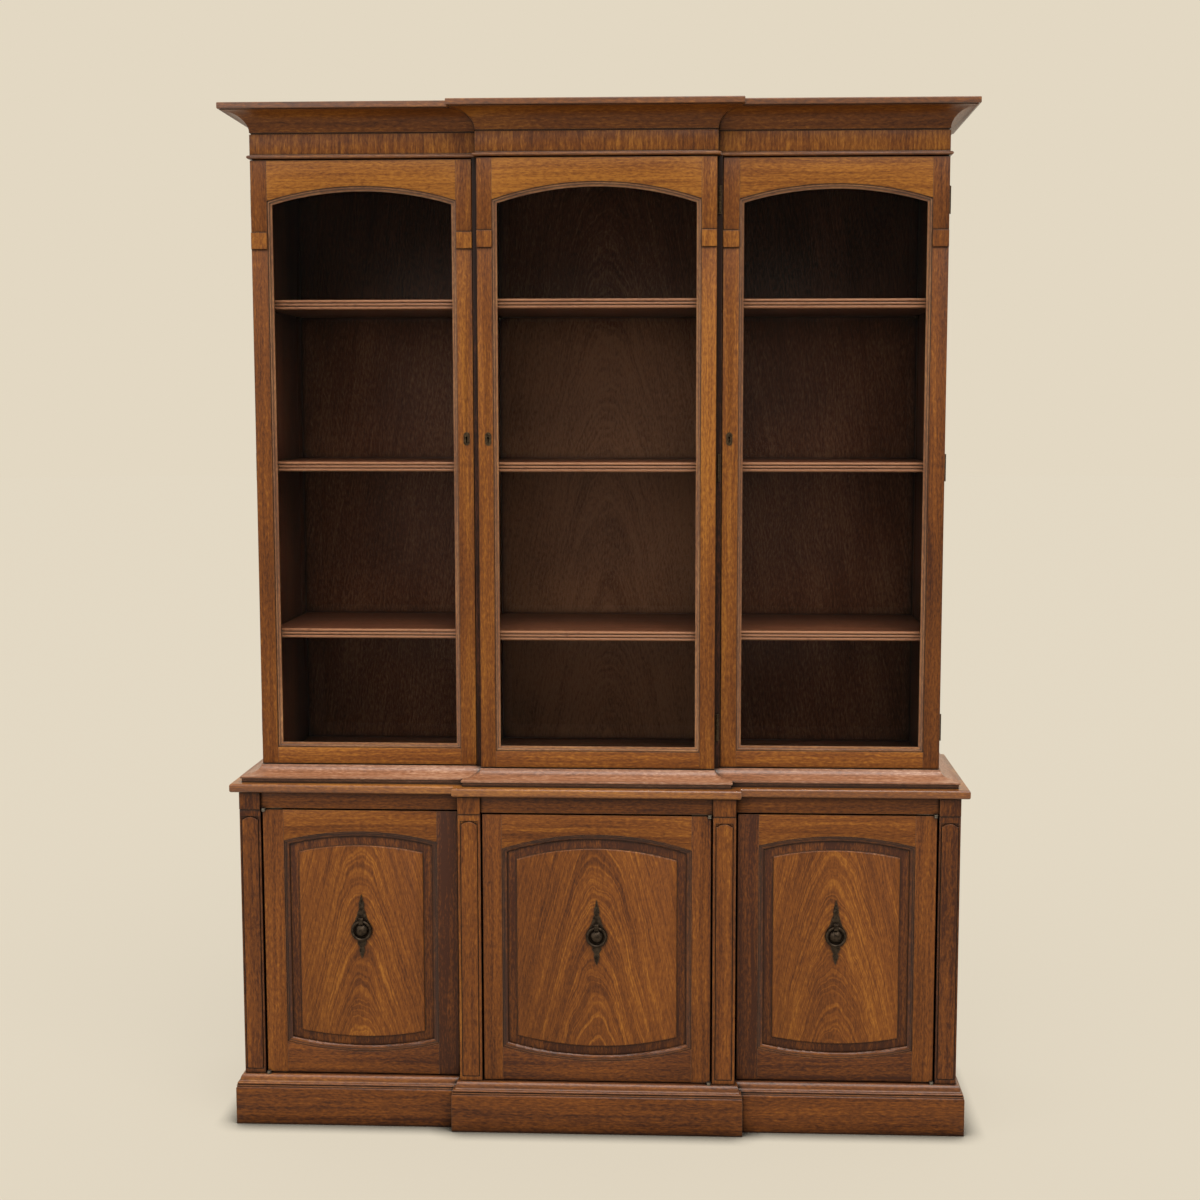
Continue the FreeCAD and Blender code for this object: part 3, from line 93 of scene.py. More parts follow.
class Nodes:
    """A node tree. A value in a call is a socket, a number or a colour."""

    def __init__(self, tree, output):
        self.tree = tree
        self.tree.nodes.clear()
        self.output = self.tree.nodes.new("ShaderNodeOutput" + output)

    def add(self, kind, inputs=(), **settings):
        """A node with settings and with inputs given as (name or number, value) pairs."""
        node = self.tree.nodes.new("ShaderNode" + kind)
        for key, value in settings.items():
            setattr(node, key, value)
        for key, value in inputs:
            if isinstance(value, bpy.types.NodeSocket):
                self.tree.links.new(value, node.inputs[key])
            else:
                node.inputs[key].default_value = value
        return node

    def math(self, operation, *values):
        return self.add("Math", enumerate(values), operation=operation).outputs[0]

    def total(self, first, *others):
        for value in others:
            first = self.math("ADD", first, value)
        return first

    def scaled(self, value, factor, shift=0.0):
        return self.math("MULTIPLY_ADD", value, factor, shift)

    def about_zero(self, value, strength):
        """A value between 0 and 1, made to swing evenly about zero by the strength."""
        return self.scaled(value, strength, -strength / 2)

    def vector(self, x, y, z):
        return self.add("CombineXYZ", enumerate((x, y, z))).outputs[0]

    def noise(self, vector, scale=1.0, detail=2.0, roughness=0.5):
        pairs = (("Vector", vector), ("Scale", scale), ("Detail", detail), ("Roughness", roughness))
        return self.add("TexNoise", pairs).outputs[0]

    def ranged(self, value, low, high, to_low=0.0, to_high=1.0):
        """The value taken from one range to another and kept inside it."""
        names = ("Value", "From Min", "From Max", "To Min", "To Max")
        return self.add("MapRange", zip(names, (value, low, high, to_low, to_high)), clamp=True).outputs[0]

    def ramp(self, value, stops):
        node = self.add("ValToRGB", [("Fac", value)])
        elements = node.color_ramp.elements
        for number, (place, colour) in enumerate(stops):
            element = elements[number] if number < 2 else elements.new(place)
            element.position = place
            element.color = colour
        return node.outputs[0]

    def mix(self, factor, first, second):
        pairs = ((0, factor), (6, first), (7, second))
        return self.add("Mix", pairs, data_type="RGBA").outputs[2]

    def finish(self, surface):
        self.tree.links.new(surface.outputs[0], self.output.inputs["Surface"])


class Shader(Nodes):
    """A new material's node tree."""

    def __init__(self, name):
        self.material = bpy.data.materials.new(name)
        self.material.use_nodes = True
        super().__init__(self.material.node_tree, "Material")

    def finish(self, surface):
        super().finish(surface)
        return self.material


# Wood: its dark, middle and light colours

POLISHED = (srgb(58, 26, 9), srgb(118, 65, 20), srgb(174, 111, 38))
SHADED = (srgb(38, 19, 11), srgb(94, 53, 33), srgb(152, 104, 72))
# RUBBED_WITH_SHEEN and SOFT_RUBBED_WITH_SHEEN are paler and pinker, partly a rubbed finish and partly a
# painted sheen of light on the mouldings' rounds
RUBBED_WITH_SHEEN = (srgb(74, 38, 20), srgb(142, 92, 60), srgb(196, 152, 120))
SOFT_RUBBED_WITH_SHEEN = (srgb(64, 30, 12), srgb(126, 74, 34), srgb(184, 128, 74))
SHADE_AND_GRIME = srgb(20, 10, 6)
RUB_AND_HIGHLIGHT = srgb(190, 142, 104)

# Where painted shade gathers, with grime in the crevices and hollows: its reach, and the share of open space
# at which it is full and at which it ends

CREVICES = (6 * MM, 0.34, 0.96)
CREVICE_SHARE = 0.96
HOLLOWS = (12 * MM, 0.50, 0.93)
GAPS = (30 * MM, 0.16, 0.70)
DEEP_INSIDE = (160 * MM, 0.10, 0.75)
OPEN_SAMPLES = 6

# Edges, darkened by grime and painted shade and lightened by wear and a painted highlight: the reach, and
# the agreement of normals at which the effect is full and at which it ends

DARK_EDGES = (4.5 * MM, 0.80, 0.995)
RUB_AND_HIGHLIGHT_EDGES = (1.4 * MM, 0.86, 0.995)
EDGE_SAMPLES = 4
DARK_PATCHES = (0.3, 0.7, 1.0, 0.5)
RUB_AND_HIGHLIGHT_PATCHES = (0.35, 0.7, 0.2, 1.0)

# The noises of the grain: how fast each changes along and across the board, per metre

SWAY, WAVER, CLOUD = (2.2, 7.0), (16.0, 34.0), (3.0, 9.0)
BANDS, CROWN_BANDS, STREAKS = (1.6, 80.0), (1.0, 62.0), (2.4, 330.0)
LINES, LINES_THROUGH = (9.0, 420.0), 60.0
MOTTLE, MOTTLE_BEND = (85.0, 300.0), 5.0
PORES, PORE_RANGE = (230.0, 2400.0), (0.56, 0.68)
CHATTER, EDGE_PATCH_RATES = (22.0, 190.0), (30.0, 60.0)
ROUGH_NOISE, ROUGHER_NOISE = 0.60, 0.62

# How far the noises bend the rings of the grain, in metres

SWAY_BEND, WAVER_BEND = 24 * MM, 4 * MM
CROWN_SWAY_BEND, CROWN_WAVER_BEND = 30 * MM, 8 * MM
DRIFT_SLOPE = 0.02
THROUGH_SLANT = 0.35

# How much each part of the grain lightens or darkens the wood

MIDDLE_LEVEL = 0.50
BAND_SHARE, CROWN_BAND_SHARE = 0.95, 0.70
STREAK_HALF, STREAK_SHARE, STREAK_SHIFT, STREAK_SEED = 0.10, 0.26, -0.07, 9.0
CROWN_STRONG, CROWN_WEAK, CROWN_SIDE_SHARE = 50 * MM, 140 * MM, 0.55
LINE_SHARE, CLOUD_SHARE, PORE_SHARE = 0.50, 0.50, -0.10
LEAF_SEEDS = 40.0
TONE_STEP = 0.20
# Painted shade inside the case fades in between these heights, behind the doors' arched heads
TOP_SHADE_LOW, TOP_SHADE_HIGH = 1.62, 1.78
MIDDLE_BAY, MIDDLE_BAY_EDGE = 0.23, 0.02

# The surface of the wood

LINE_RELIEF, PORE_RELIEF, MOTTLE_RELIEF = 0.30, -0.8, 0.30
RELIEF_STRENGTH, RELIEF_DEPTH = 0.22, 0.25 * MM
ROUGHNESS, CLOUD_ROUGHNESS, CLOUD_SHIFT, PORE_ROUGHNESS = 0.36, 0.16, -0.06, 0.18
COAT_ROUGHNESS = 0.26


def near_edge(s, edges):
    """How near to an edge of its own piece a point lies, from a normal averaged over a small reach."""
    reach, full, end = edges
    averaged = s.add("Bevel", [("Radius", reach)], samples=EDGE_SAMPLES).outputs[0]
    true_normal = s.add("NewGeometry").outputs["Normal"]
    pairs = [(0, averaged), (1, true_normal)]
    agreement = s.add("VectorMath", pairs, operation="DOT_PRODUCT").outputs["Value"]
    return s.ranged(agreement, end, full)


def with_shade_and_grime(s, colour, places, share):
    """The colour with a share of painted shade and grime where the surroundings close in."""
    reach, full, end = places
    openness = s.add("AmbientOcclusion", [("Distance", reach)], samples=OPEN_SAMPLES).outputs["AO"]
    return s.mix(s.ranged(openness, full, end, share, 0.0), colour, SHADE_AND_GRIME)


def wood(name, crown=None, leaf=None, dim=0.0, contrast=1.0, rub_and_highlight_share=0.5, dark_share=0.6, corners=0.0,
         leaf_tone=1.1, ripple=0.0, shine=0.26, coat=0.03, palette=POLISHED, mottled=1.15, top_shade=0.0,
         middle_lift=0.0, gaps=0.95, hollow=0.0):
    """Polished wood whose grain runs along the first of the board's own coordinates.

    crown is the pith's depth behind the board and the rings' taper, for a crown figure; leaf is the width
    of one leaf of cross-banded veneer; corners is how much painted shade darkens the wood deep inside the
    case, and smoked how much painted shade darkens it behind the arched heads of the doors. middle_lift
    lightens the middle bay, gaps is how dark the painted shade gets in a narrow gap, and hollow how dark
    the painted shade and grime get in the hollows of a moulding.
    """
    s = Shader(name)
    at = s.add("SeparateXYZ", [(0, s.add("Attribute", attribute_name="grain_at").outputs["Vector"])])
    seeds = s.add("SeparateXYZ", [(0, s.add("Attribute", attribute_name="board_seed").outputs["Vector"])])
    along, across, through = at.outputs
    seed, drift, tone = seeds.outputs
    if leaf:
        number = s.math("FLOOR", s.scaled(across, 1 / leaf, 0.5))
        random_leaf = s.add("TexWhiteNoise", [("Vector", s.vector(number, seed, drift))]).outputs["Value"]
        tone = s.math("ADD", tone, s.about_zero(random_leaf, leaf_tone))
        seed = s.math("ADD", seed, s.scaled(random_leaf, LEAF_SEEDS))

    def soft_noise(rates):
        """A soft noise over all three of the board's coordinates."""
        lengthwise, sideways = rates
        depth_seed = s.total(seed, s.scaled(through, sideways))
        return s.noise(s.vector(s.scaled(along, lengthwise), s.scaled(across, sideways), depth_seed))

    def ring_noise(rates, third, **settings):
        """A noise that follows the rings."""
        lengthwise, sideways = rates
        return s.noise(s.vector(s.scaled(ring, sideways), s.scaled(along, lengthwise), third), **settings)

    def face_noise(rates, **settings):
        """A noise over the board's face."""
        lengthwise, sideways = rates
        return s.noise(s.vector(s.scaled(along, lengthwise), s.scaled(across, sideways), seed), **settings)

    sway, waver, cloud = soft_noise(SWAY), soft_noise(WAVER), soft_noise(CLOUD)
    if crown:
        depth, slope = crown
        behind = s.total(depth, through)
        ring = s.math("SQRT", s.total(s.math("POWER", across, 2.0), s.math("POWER", behind, 2.0)))
        ring = s.total(ring, s.scaled(along, slope), s.scaled(sway, CROWN_SWAY_BEND),
                       s.scaled(waver, CROWN_WAVER_BEND))
        bands = ring_noise(CROWN_BANDS, seed, roughness=ROUGH_NOISE)
        streak = ring_noise(STREAKS, s.total(seed, STREAK_SEED), detail=1.0)
        thin = s.ranged(s.math("ABSOLUTE", s.total(streak, -0.5)), 0.0, STREAK_HALF, 1.0, 0.0)
        figure = s.total(s.about_zero(bands, CROWN_BAND_SHARE * contrast),
                         s.scaled(thin, STREAK_SHARE * contrast, STREAK_SHIFT))
        to_middle = s.ranged(s.math("ABSOLUTE", across), CROWN_STRONG, CROWN_WEAK, 1.0, CROWN_SIDE_SHARE)
        figure = s.math("MULTIPLY", figure, to_middle)
    else:
        slope = s.about_zero(drift, DRIFT_SLOPE)
        ring = s.total(across, s.scaled(through, THROUGH_SLANT), s.scaled(sway, SWAY_BEND),
                       s.scaled(waver, WAVER_BEND), s.math("MULTIPLY", along, slope))
        bands = ring_noise(BANDS, seed, detail=4.0, roughness=ROUGHER_NOISE)
        figure = s.about_zero(bands, BAND_SHARE * contrast)
    lines = ring_noise(LINES, s.scaled(through, LINES_THROUGH), detail=3.0, roughness=ROUGH_NOISE)
    lengthwise, sideways = MOTTLE
    bent = s.total(s.scaled(across, sideways), s.scaled(waver, MOTTLE_BEND), seed)
    mottle = s.noise(s.vector(s.scaled(along, lengthwise), bent, s.scaled(through, sideways)),
                     detail=3.0, roughness=ROUGHER_NOISE)
    lengthwise, sideways = PORES
    fine = s.vector(s.scaled(along, lengthwise), s.total(s.scaled(across, sideways), seed),
                    s.scaled(through, sideways))
    pores = s.ranged(s.noise(fine, detail=1.0), *PORE_RANGE)
    parts = [MIDDLE_LEVEL - dim, figure, s.about_zero(lines, LINE_SHARE), s.about_zero(mottle, mottled),
             s.scaled(pores, PORE_SHARE), s.about_zero(cloud, CLOUD_SHARE), s.scaled(tone, TONE_STEP)]
    if ripple:
        parts.append(s.about_zero(face_noise(CHATTER), ripple))
    # Painted shade high inside the case, behind the doors' arched heads, and a lighter middle bay
    if top_shade or middle_lift:
        place = s.add("SeparateXYZ", [(0, s.add("TexCoord").outputs["Object"])]).outputs
        parts.append(s.ranged(place["Z"], TOP_SHADE_LOW, TOP_SHADE_HIGH, 0.0, -top_shade))
        parts.append(s.ranged(s.math("ABSOLUTE", place["X"]), MIDDLE_BAY, MIDDLE_BAY + MIDDLE_BAY_EDGE,
                              middle_lift, 0.0))
    low, middle, high = palette
    colour = s.ramp(s.total(*parts), [(0.0, low), (1.0, high), (0.5, middle)])

    edge_patches = face_noise(EDGE_PATCH_RATES, detail=3.0)
    # Darker edges: partly grime and partly the painted shade of the gaps beside them
    if dark_share:
        dark = s.math("MULTIPLY", near_edge(s, DARK_EDGES), s.ranged(edge_patches, *DARK_PATCHES))
        colour = s.mix(s.scaled(dark, dark_share), colour, SHADE_AND_GRIME)
    # Lighter edges: partly wear and partly a painted highlight where edges catch the light
    if rub_and_highlight_share:
        rub_and_highlight_mask = s.math("MULTIPLY", near_edge(s, RUB_AND_HIGHLIGHT_EDGES), s.ranged(edge_patches, *RUB_AND_HIGHLIGHT_PATCHES))
        colour = s.mix(s.scaled(rub_and_highlight_mask, rub_and_highlight_share), colour, RUB_AND_HIGHLIGHT)
    # Painted shade where the surroundings close in: with grime in crevices and moulding hollows, shade alone
    # in narrow gaps and deep inside the case
    colour = with_shade_and_grime(s, colour, CREVICES, CREVICE_SHARE)
    for places, share in ((HOLLOWS, hollow), (GAPS, gaps), (DEEP_INSIDE, corners)):
        if share:
            colour = with_shade_and_grime(s, colour, places, share)

    height = s.total(s.scaled(lines, LINE_RELIEF), s.scaled(pores, PORE_RELIEF),
                     s.scaled(mottle, MOTTLE_RELIEF))
    relief = [("Strength", RELIEF_STRENGTH), ("Distance", RELIEF_DEPTH), ("Height", height)]
    roughness = s.total(ROUGHNESS, s.scaled(cloud, CLOUD_ROUGHNESS, CLOUD_SHIFT),
                        s.scaled(pores, PORE_ROUGHNESS))
    shader = s.add("BsdfPrincipled", [
        ("Base Color", colour), ("Roughness", roughness), ("Normal", s.add("Bump", relief).outputs[0]),
        ("Specular IOR Level", shine), ("Coat Weight", coat), ("Coat Roughness", COAT_ROUGHNESS),
    ])
    return s.finish(shader)


# Metals and glass

METALNESS = 0.9
PATINA_RANGE = (0.35, 0.68)
PATINA_FINER = 9
METAL_EDGES, METAL_EDGE_SHARE = (0.8 * MM, 0.7, 0.99), 0.55
METAL_CREVICES, METAL_CREVICE_SHARE = (4 * MM, 0.3, 0.9), 0.8
METAL_RELIEF_STRENGTH, METAL_RELIEF_DEPTH = 0.3, 0.2 * MM
SMOOTH_PATINA, ROUGH_PATINA = (0.3, -0.08), (0.7, 0.14)
GLASS_TINT = (0.78, 0.86, 0.82, 1.0)
GLASS_ALPHA, GLASS_IOR = 0.05, 1.5
WAVE_RATE, WAVE_STRENGTH, WAVE_DEPTH = 6.0, 0.05, 2 * MM
SMEAR_RATE, SMEARS = 18.0, (0.4, 0.7, 0.03, 0.07)


def metal(name, low, high, edge, roughness, patina_rate):
    """An aged metal between two colours, lighter at its edges, partly rubbed by hands and partly a painted
    highlight.
    """
    s = Shader(name)
    place = s.add("TexCoord").outputs["Object"]
    patina = s.noise(place, scale=patina_rate, detail=5.0, roughness=ROUGH_NOISE)
    fine = s.noise(place, scale=patina_rate * PATINA_FINER)
    colour = s.ramp(patina, zip(PATINA_RANGE, (low, high)))
    # Lighter edges: partly rubbed metal and partly a painted highlight
    colour = s.mix(s.scaled(near_edge(s, METAL_EDGES), METAL_EDGE_SHARE), colour, edge)
    colour = with_shade_and_grime(s, colour, METAL_CREVICES, METAL_CREVICE_SHARE)
    relief = [("Strength", METAL_RELIEF_STRENGTH), ("Distance", METAL_RELIEF_DEPTH),
              ("Height", s.total(patina, fine))]
    (smooth, smoother), (rough, rougher) = SMOOTH_PATINA, ROUGH_PATINA
    shader = s.add("BsdfPrincipled", [
        ("Base Color", colour), ("Metallic", METALNESS), ("Normal", s.add("Bump", relief).outputs[0]),
        ("Roughness", s.ranged(patina, smooth, rough, roughness + smoother, roughness + rougher)),
    ])
    return s.finish(shader)


def glass():
    s = Shader("old_glass")
    place = s.add("TexCoord").outputs["Object"]
    waves = s.noise(place, scale=WAVE_RATE, detail=1.0)
    relief = [("Strength", WAVE_STRENGTH), ("Distance", WAVE_DEPTH), ("Height", waves)]
    smears = s.ranged(s.noise(place, scale=SMEAR_RATE, detail=4.0), *SMEARS)
    shader = s.add("BsdfPrincipled", [
        ("Base Color", GLASS_TINT), ("Roughness", smears), ("Normal", s.add("Bump", relief).outputs[0]),
        ("Alpha", GLASS_ALPHA), ("Transmission Weight", 1.0), ("IOR", GLASS_IOR),
    ])
    material = s.finish(shader)
    material.surface_render_method = "BLENDED"
    return material


# Boards: each solid of a wooden node, with softened edges and its own grain

SOFT_EDGE = 0.5 * MM
EDGE_SEGMENTS = 2
SHARP_DEG = 35.0
WELD = 0.002 * MM
FLAT_DEG = 0.3


def solids(mesh):
    """A node's closed solids, one after another, as (corners, faces)."""
    bm = bmesh.new()
    bm.from_mesh(mesh)
    twins = bmesh.ops.find_doubles(bm, verts=bm.verts, dist=WELD)["targetmap"]
    key = {vert.index: twins.get(vert, vert).index for vert in bm.verts}
    found, faces, unmatched = [], [], {}
    for polygon in mesh.polygons:
        ring = [key[number] for number in polygon.vertices]
        if len(set(ring)) == len(ring):
            faces.append(ring)
        for start, end in zip(ring, ring[1:] + ring[:1]):
            if start == end:
                continue
            if unmatched.get((end, start)):
                unmatched[end, start] -= 1
                if not unmatched[end, start]:
                    del unmatched[end, start]
            else:
                unmatched[start, end] = unmatched.get((start, end), 0) + 1
        if not unmatched:
            found.append(faces)
            faces = []
    if faces:
        found.append(faces)
    bm.free()
    result = []
    for faces in found:
        used = sorted({number for ring in faces for number in ring})
        order = {number: place for place, number in enumerate(used)}
        corners = [mesh.vertices[number].co.copy() for number in used]
        result.append((corners, [[order[number] for number in ring] for ring in faces]))
    return result


def softened(corners, faces):
    """The solid with its flat faces whole and its sharp edges rounded a little."""
    bm = bmesh.new()
    verts = [bm.verts.new(corner) for corner in corners]
    for ring in faces:
        if bm.faces.get([verts[number] for number in ring]) is None:
            bm.faces.new([verts[number] for number in ring])
    bmesh.ops.dissolve_limit(bm, angle_limit=math.radians(FLAT_DEG), verts=bm.verts, edges=bm.edges)
    bm.normal_update()
    sharp = [edge for edge in bm.edges if len(edge.link_faces) == 2
             and math.degrees(edge.calc_face_angle(0.0)) > SHARP_DEG]
    bmesh.ops.bevel(bm, geom=sharp, offset=SOFT_EDGE, offset_type="OFFSET", segments=EDGE_SEGMENTS,
                    profile=0.5, affect="EDGES", clamp_overlap=True)
    return bm


def span(points):
    low = Vector([min(point[axis] for point in points) for axis in range(3)])
    high = Vector([max(point[axis] for point in points) for axis in range(3)])
    return low, high


def grain_order(size, rule):
    """The board's axes in order: along the grain, across it and through the board."""
    axes = sorted(range(3), key=lambda axis: -size[axis])
    if rule == "upright":
        axes = [2] + sorted((0, 1), key=lambda axis: -size[axis])
    elif rule == "level":
        axes = sorted((0, 1), key=lambda axis: -size[axis])
        axes.insert(1, 2)
    return axes


class Dressing:
    """The mesh of a dressed node, gathered solid by solid."""

    def __init__(self):
        self.corners, self.faces, self.grain, self.seeds, self.slots = [], [], [], [], []

    def take(self, bm, order_at, lift_at, slot_at, middle, seed):
        """Adds a solid.

        order_at gives the board's axes for a face; lift_at and slot_at give the extra tone, which paints
        light or shade on some faces, and the material at a point.
        """
        start = len(self.corners)
        bm.verts.index_update()
        self.corners += [vert.co.copy() for vert in bm.verts]
        for face in bm.faces:
            self.faces.append([start + vert.index for vert in face.verts])
            centre = face.calc_center_median()
            self.slots.append(slot_at(centre))
            order = order_at(face)
            self.seeds.append((seed[0], seed[1], seed[2] + lift_at(centre)))
            for vert in face.verts:
                away = vert.co - middle
                self.grain.append([away[axis] for axis in order])

    def object(self, name, materials):
        mesh = bpy.data.meshes.new(name)
        mesh.from_pydata(self.corners, [], self.faces)
        attributes = (("grain_at", "CORNER", self.grain), ("board_seed", "FACE", self.seeds))
        for attribute, domain, rows in attributes:
            data = mesh.attributes.new(attribute, "FLOAT_VECTOR", domain).data
            data.foreach_set("vector", [value for row in rows for value in row])
        for material in materials:
            mesh.materials.append(material)
        mesh.polygons.foreach_set("material_index", self.slots)
        mesh.polygons.foreach_set("use_smooth", [True] * len(self.faces))
        mesh.set_sharp_from_angle(angle=math.radians(SHARP_DEG))
        mesh.update()
        piece = bpy.data.objects.new(name, mesh)
        bpy.context.scene.collection.objects.link(piece)
        return piece


UPRIGHT = {"upper_back", "base_back", "frieze_boards", "upper_ends", "upper_partitions", "base_ends",
           "base_partitions", "pilasters"}
LEVEL = {"cornice_cove", "cornice_top", "frieze_bead", "waist_moulding", "waist_slab", "plinth_boards",
         "plinth_moulding", "upper_floor", "upper_top", "base_floor"}


def grain_rule(node):
    if node in UPRIGHT or node.endswith("_panel"):
        return "upright"
    return "level" if node in LEVEL else "longest"


# How light a board is against the general colour, in steps of TONE_STEP. The cupboards' stiles beside the
# projecting middle and the base's boards are darker, partly as painted shade and partly as grime; the rest
# is each board's own tone.

FRAME_TONES = {
    "door_left": {"left": -0.3, "right": 0.2, "top": 1.3, "bottom": 0.4,
                  "left_block": 0.4, "right_block": 0.9},
    "door_centre": {"left": 0.0, "right": 0.5, "top": 1.35, "bottom": 0.4,
                    "left_block": 0.3, "right_block": 1.0},
    "door_right": {"left": 0.0, "right": -0.5, "top": 1.2, "bottom": 0.3,
                   "left_block": 0.8, "right_block": 0.0},
    "cupboard_left": {"left": -0.4, "right": -2.3, "top": 0.2, "bottom": -1.4},
    "cupboard_centre": {"left": -0.7, "right": -0.8, "top": -0.2, "bottom": -1.9},
    "cupboard_right": {"left": -1.9, "right": -0.7, "top": -0.1, "bottom": -1.6},
}
NODE_TONES = {
    "plinth_boards": -1.0, "plinth_moulding": -0.5, "base_rails": -1.1, "base_ends": -0.6,
    "pilasters": -0.9, "waist_slab": 0.4, "upper_ends": -0.4, "upper_back": 0.1, "shelves_right": -0.1,
    "door_left_mouldings": 0.5, "door_centre_mouldings": 0.5, "door_right_mouldings": 0.4,
    "frieze_boards": 0.3, "frieze_bead": 0.2, "cornice_cove": -0.1, "cornice_top": -0.8,
}
TONE_SPREAD = 0.12
SEED_SPREAD = 40
BLOCK_LIMIT = 60 * MM

# The inner pilasters stand within this distance of the middle

INNER_PILASTERS = 500 * MM
OUTER_PILASTER_TONE, INNER_PILASTER_TONE = -0.8, 0.3

# How much lighter the front of a board is than the rest of it, painted light on the shelves' fronts and
# painted shade on the partitions' fronts, and the painted highlight on the foot of a panel's moulding

FRONT_LIGHT_AND_SHADE = {"shelves_left": 3.0, "shelves_centre": 3.1, "shelves_right": 3.0, "upper_partitions": -2.0}
FRONT_DEPTH = 4 * MM
MOULDING_FOOT_HIGHLIGHT = 1.3
MOULDING_FOOT = 50 * MM
PANEL_MOULDING = 2


def board_tone(node, low, high):
    tone = NODE_TONES.get(node, 0.0) + random.uniform(-TONE_SPREAD, TONE_SPREAD)
    if node == "pilasters":
        outer = abs(low.x + high.x) / 2 > INNER_PILASTERS
        tone += OUTER_PILASTER_TONE if outer else INNER_PILASTER_TONE
    size = high - low
    frame_name = node.removesuffix("_frame")
    if frame_name in FRAME_TONES:
        box_low, box_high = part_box(node)
        right = low.x + high.x > box_low[0] + box_high[0]
        if size.z < BLOCK_LIMIT and size.x < BLOCK_LIMIT:
            place = "right_block" if right else "left_block"
        elif size.x > size.z:
            place = "top" if low.z + high.z > box_low[2] + box_high[2] else "bottom"
        else:
            place = "right" if right else "left"
        tone += FRAME_TONES[frame_name][place]
    return tone


def is_ring(node, number):
    """Mouldings that run round an opening, so that their grain turns at the corners."""
    return node.endswith("_mouldings") or (node.endswith("_panel") and number == PANEL_MOULDING)


# Rules for the material at a point of a board, from the board's number and its corners

def one_material(number, low, high):
    return lambda point: 0


def by_piece(number, low, high):
    """A cupboard panel's band, its raised field and its moulding."""
    return lambda point: number


def inside_and_end(number, low, high):
    """An end board's inside and its outside."""
    return lambda point: int(abs(point.x) > abs(low.x + high.x) / 2)


def inside_and_rear(number, low, high):
    """A back board's inside and its rear."""
    return lambda point: int(point.y > (low.y + high.y) / 2)


def front_and_rear(number, low, high):
    """Boards at the front and the sides, and the board at the rear."""
    return lambda point: int(low.y > 0)


def dress(node, materials, slot_rule=one_material):
    """A wooden node's own piece: the same solids with softened edges, each with its own grain."""
    dressing = Dressing()
    for number, (corners, faces) in enumerate(solids(frame["nodes"][node].data)):
        low, high = span(corners)
        long_axes = grain_order(high - low, grain_rule(node))
        seed = (random.uniform(0, SEED_SPREAD), random.uniform(0, 1), board_tone(node, low, high))
        ring = is_ring(node, number)

        def order_at(face):
            if not ring:
                return long_axes
            longest = max(face.edges, key=lambda edge: edge.calc_length())
            away = longest.verts[1].co - longest.verts[0].co
            return (2, 0, 1) if abs(away.z) > abs(away.x) else (0, 2, 1)

        # Painted highlight on a panel moulding's foot, painted light on shelf fronts, painted shade on
        # partition fronts
        def lift_at(point):
            if ring and node.endswith("_panel"):
                return MOULDING_FOOT_HIGHLIGHT if point.z < low.z + MOULDING_FOOT else 0.0
            return FRONT_LIGHT_AND_SHADE.get(node, 0.0) if point.y < low.y + FRONT_DEPTH else 0.0

        bm = softened(corners, faces)
        if ring:
            many_sided = [face for face in bm.faces if len(face.verts) > 4]
            bmesh.ops.triangulate(bm, faces=many_sided)
        dressing.take(bm, order_at, lift_at, slot_rule(number, low, high), (low + high) / 2, seed)
        bm.free()
    piece = dressing.object(node + "_dressed", materials)
    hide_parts(node)
    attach(piece, BODY_OF[node])
    return piece


# The stage

BACKDROP = srgb(227, 216, 195)
FLOOR_RADIUS, FLOOR_SIDES = 40.0, 48
FLOOR_UNSEEN = (0.30, 0.28, 0.26, 1.0)
FLOOR_LIGHT = 1.70
SHADOW_SHARE = 0.25
CONTACT_REACH, CONTACT_FULL, CONTACT_END = 50 * MM, 0.45, 0.97
CONTACT_SAMPLES = 5
CONTACT_SHADOW = srgb(36, 32, 28)
SKY_COLOUR = (0.93, 0.96, 1.0, 1.0)
SKY_LOW, SKY_HIGH = 0.06, 1.5

# A broad soft key from the upper right of the view and a weaker fill from the left, in degrees

LIGHT_WIDTH = 50.0
LIGHTS = {
    "key": {"azimuth": 18.0, "elevation": 57.0, "strength": 2.6, "colour": (1.0, 0.985, 0.96)},
    "fill": {"azimuth": -50.0, "elevation": 22.0, "strength": 0.6, "colour": (0.97, 0.985, 1.0)},
}


def seen_as_backdrop(s):
    """1 for rays that come straight or by reflection or refraction to the camera."""
    path = s.add("LightPath").outputs
    seen = s.math("MAXIMUM", path["Is Camera Ray"], path["Is Glossy Ray"])
    return s.math("MAXIMUM", seen, path["Is Transmission Ray"])


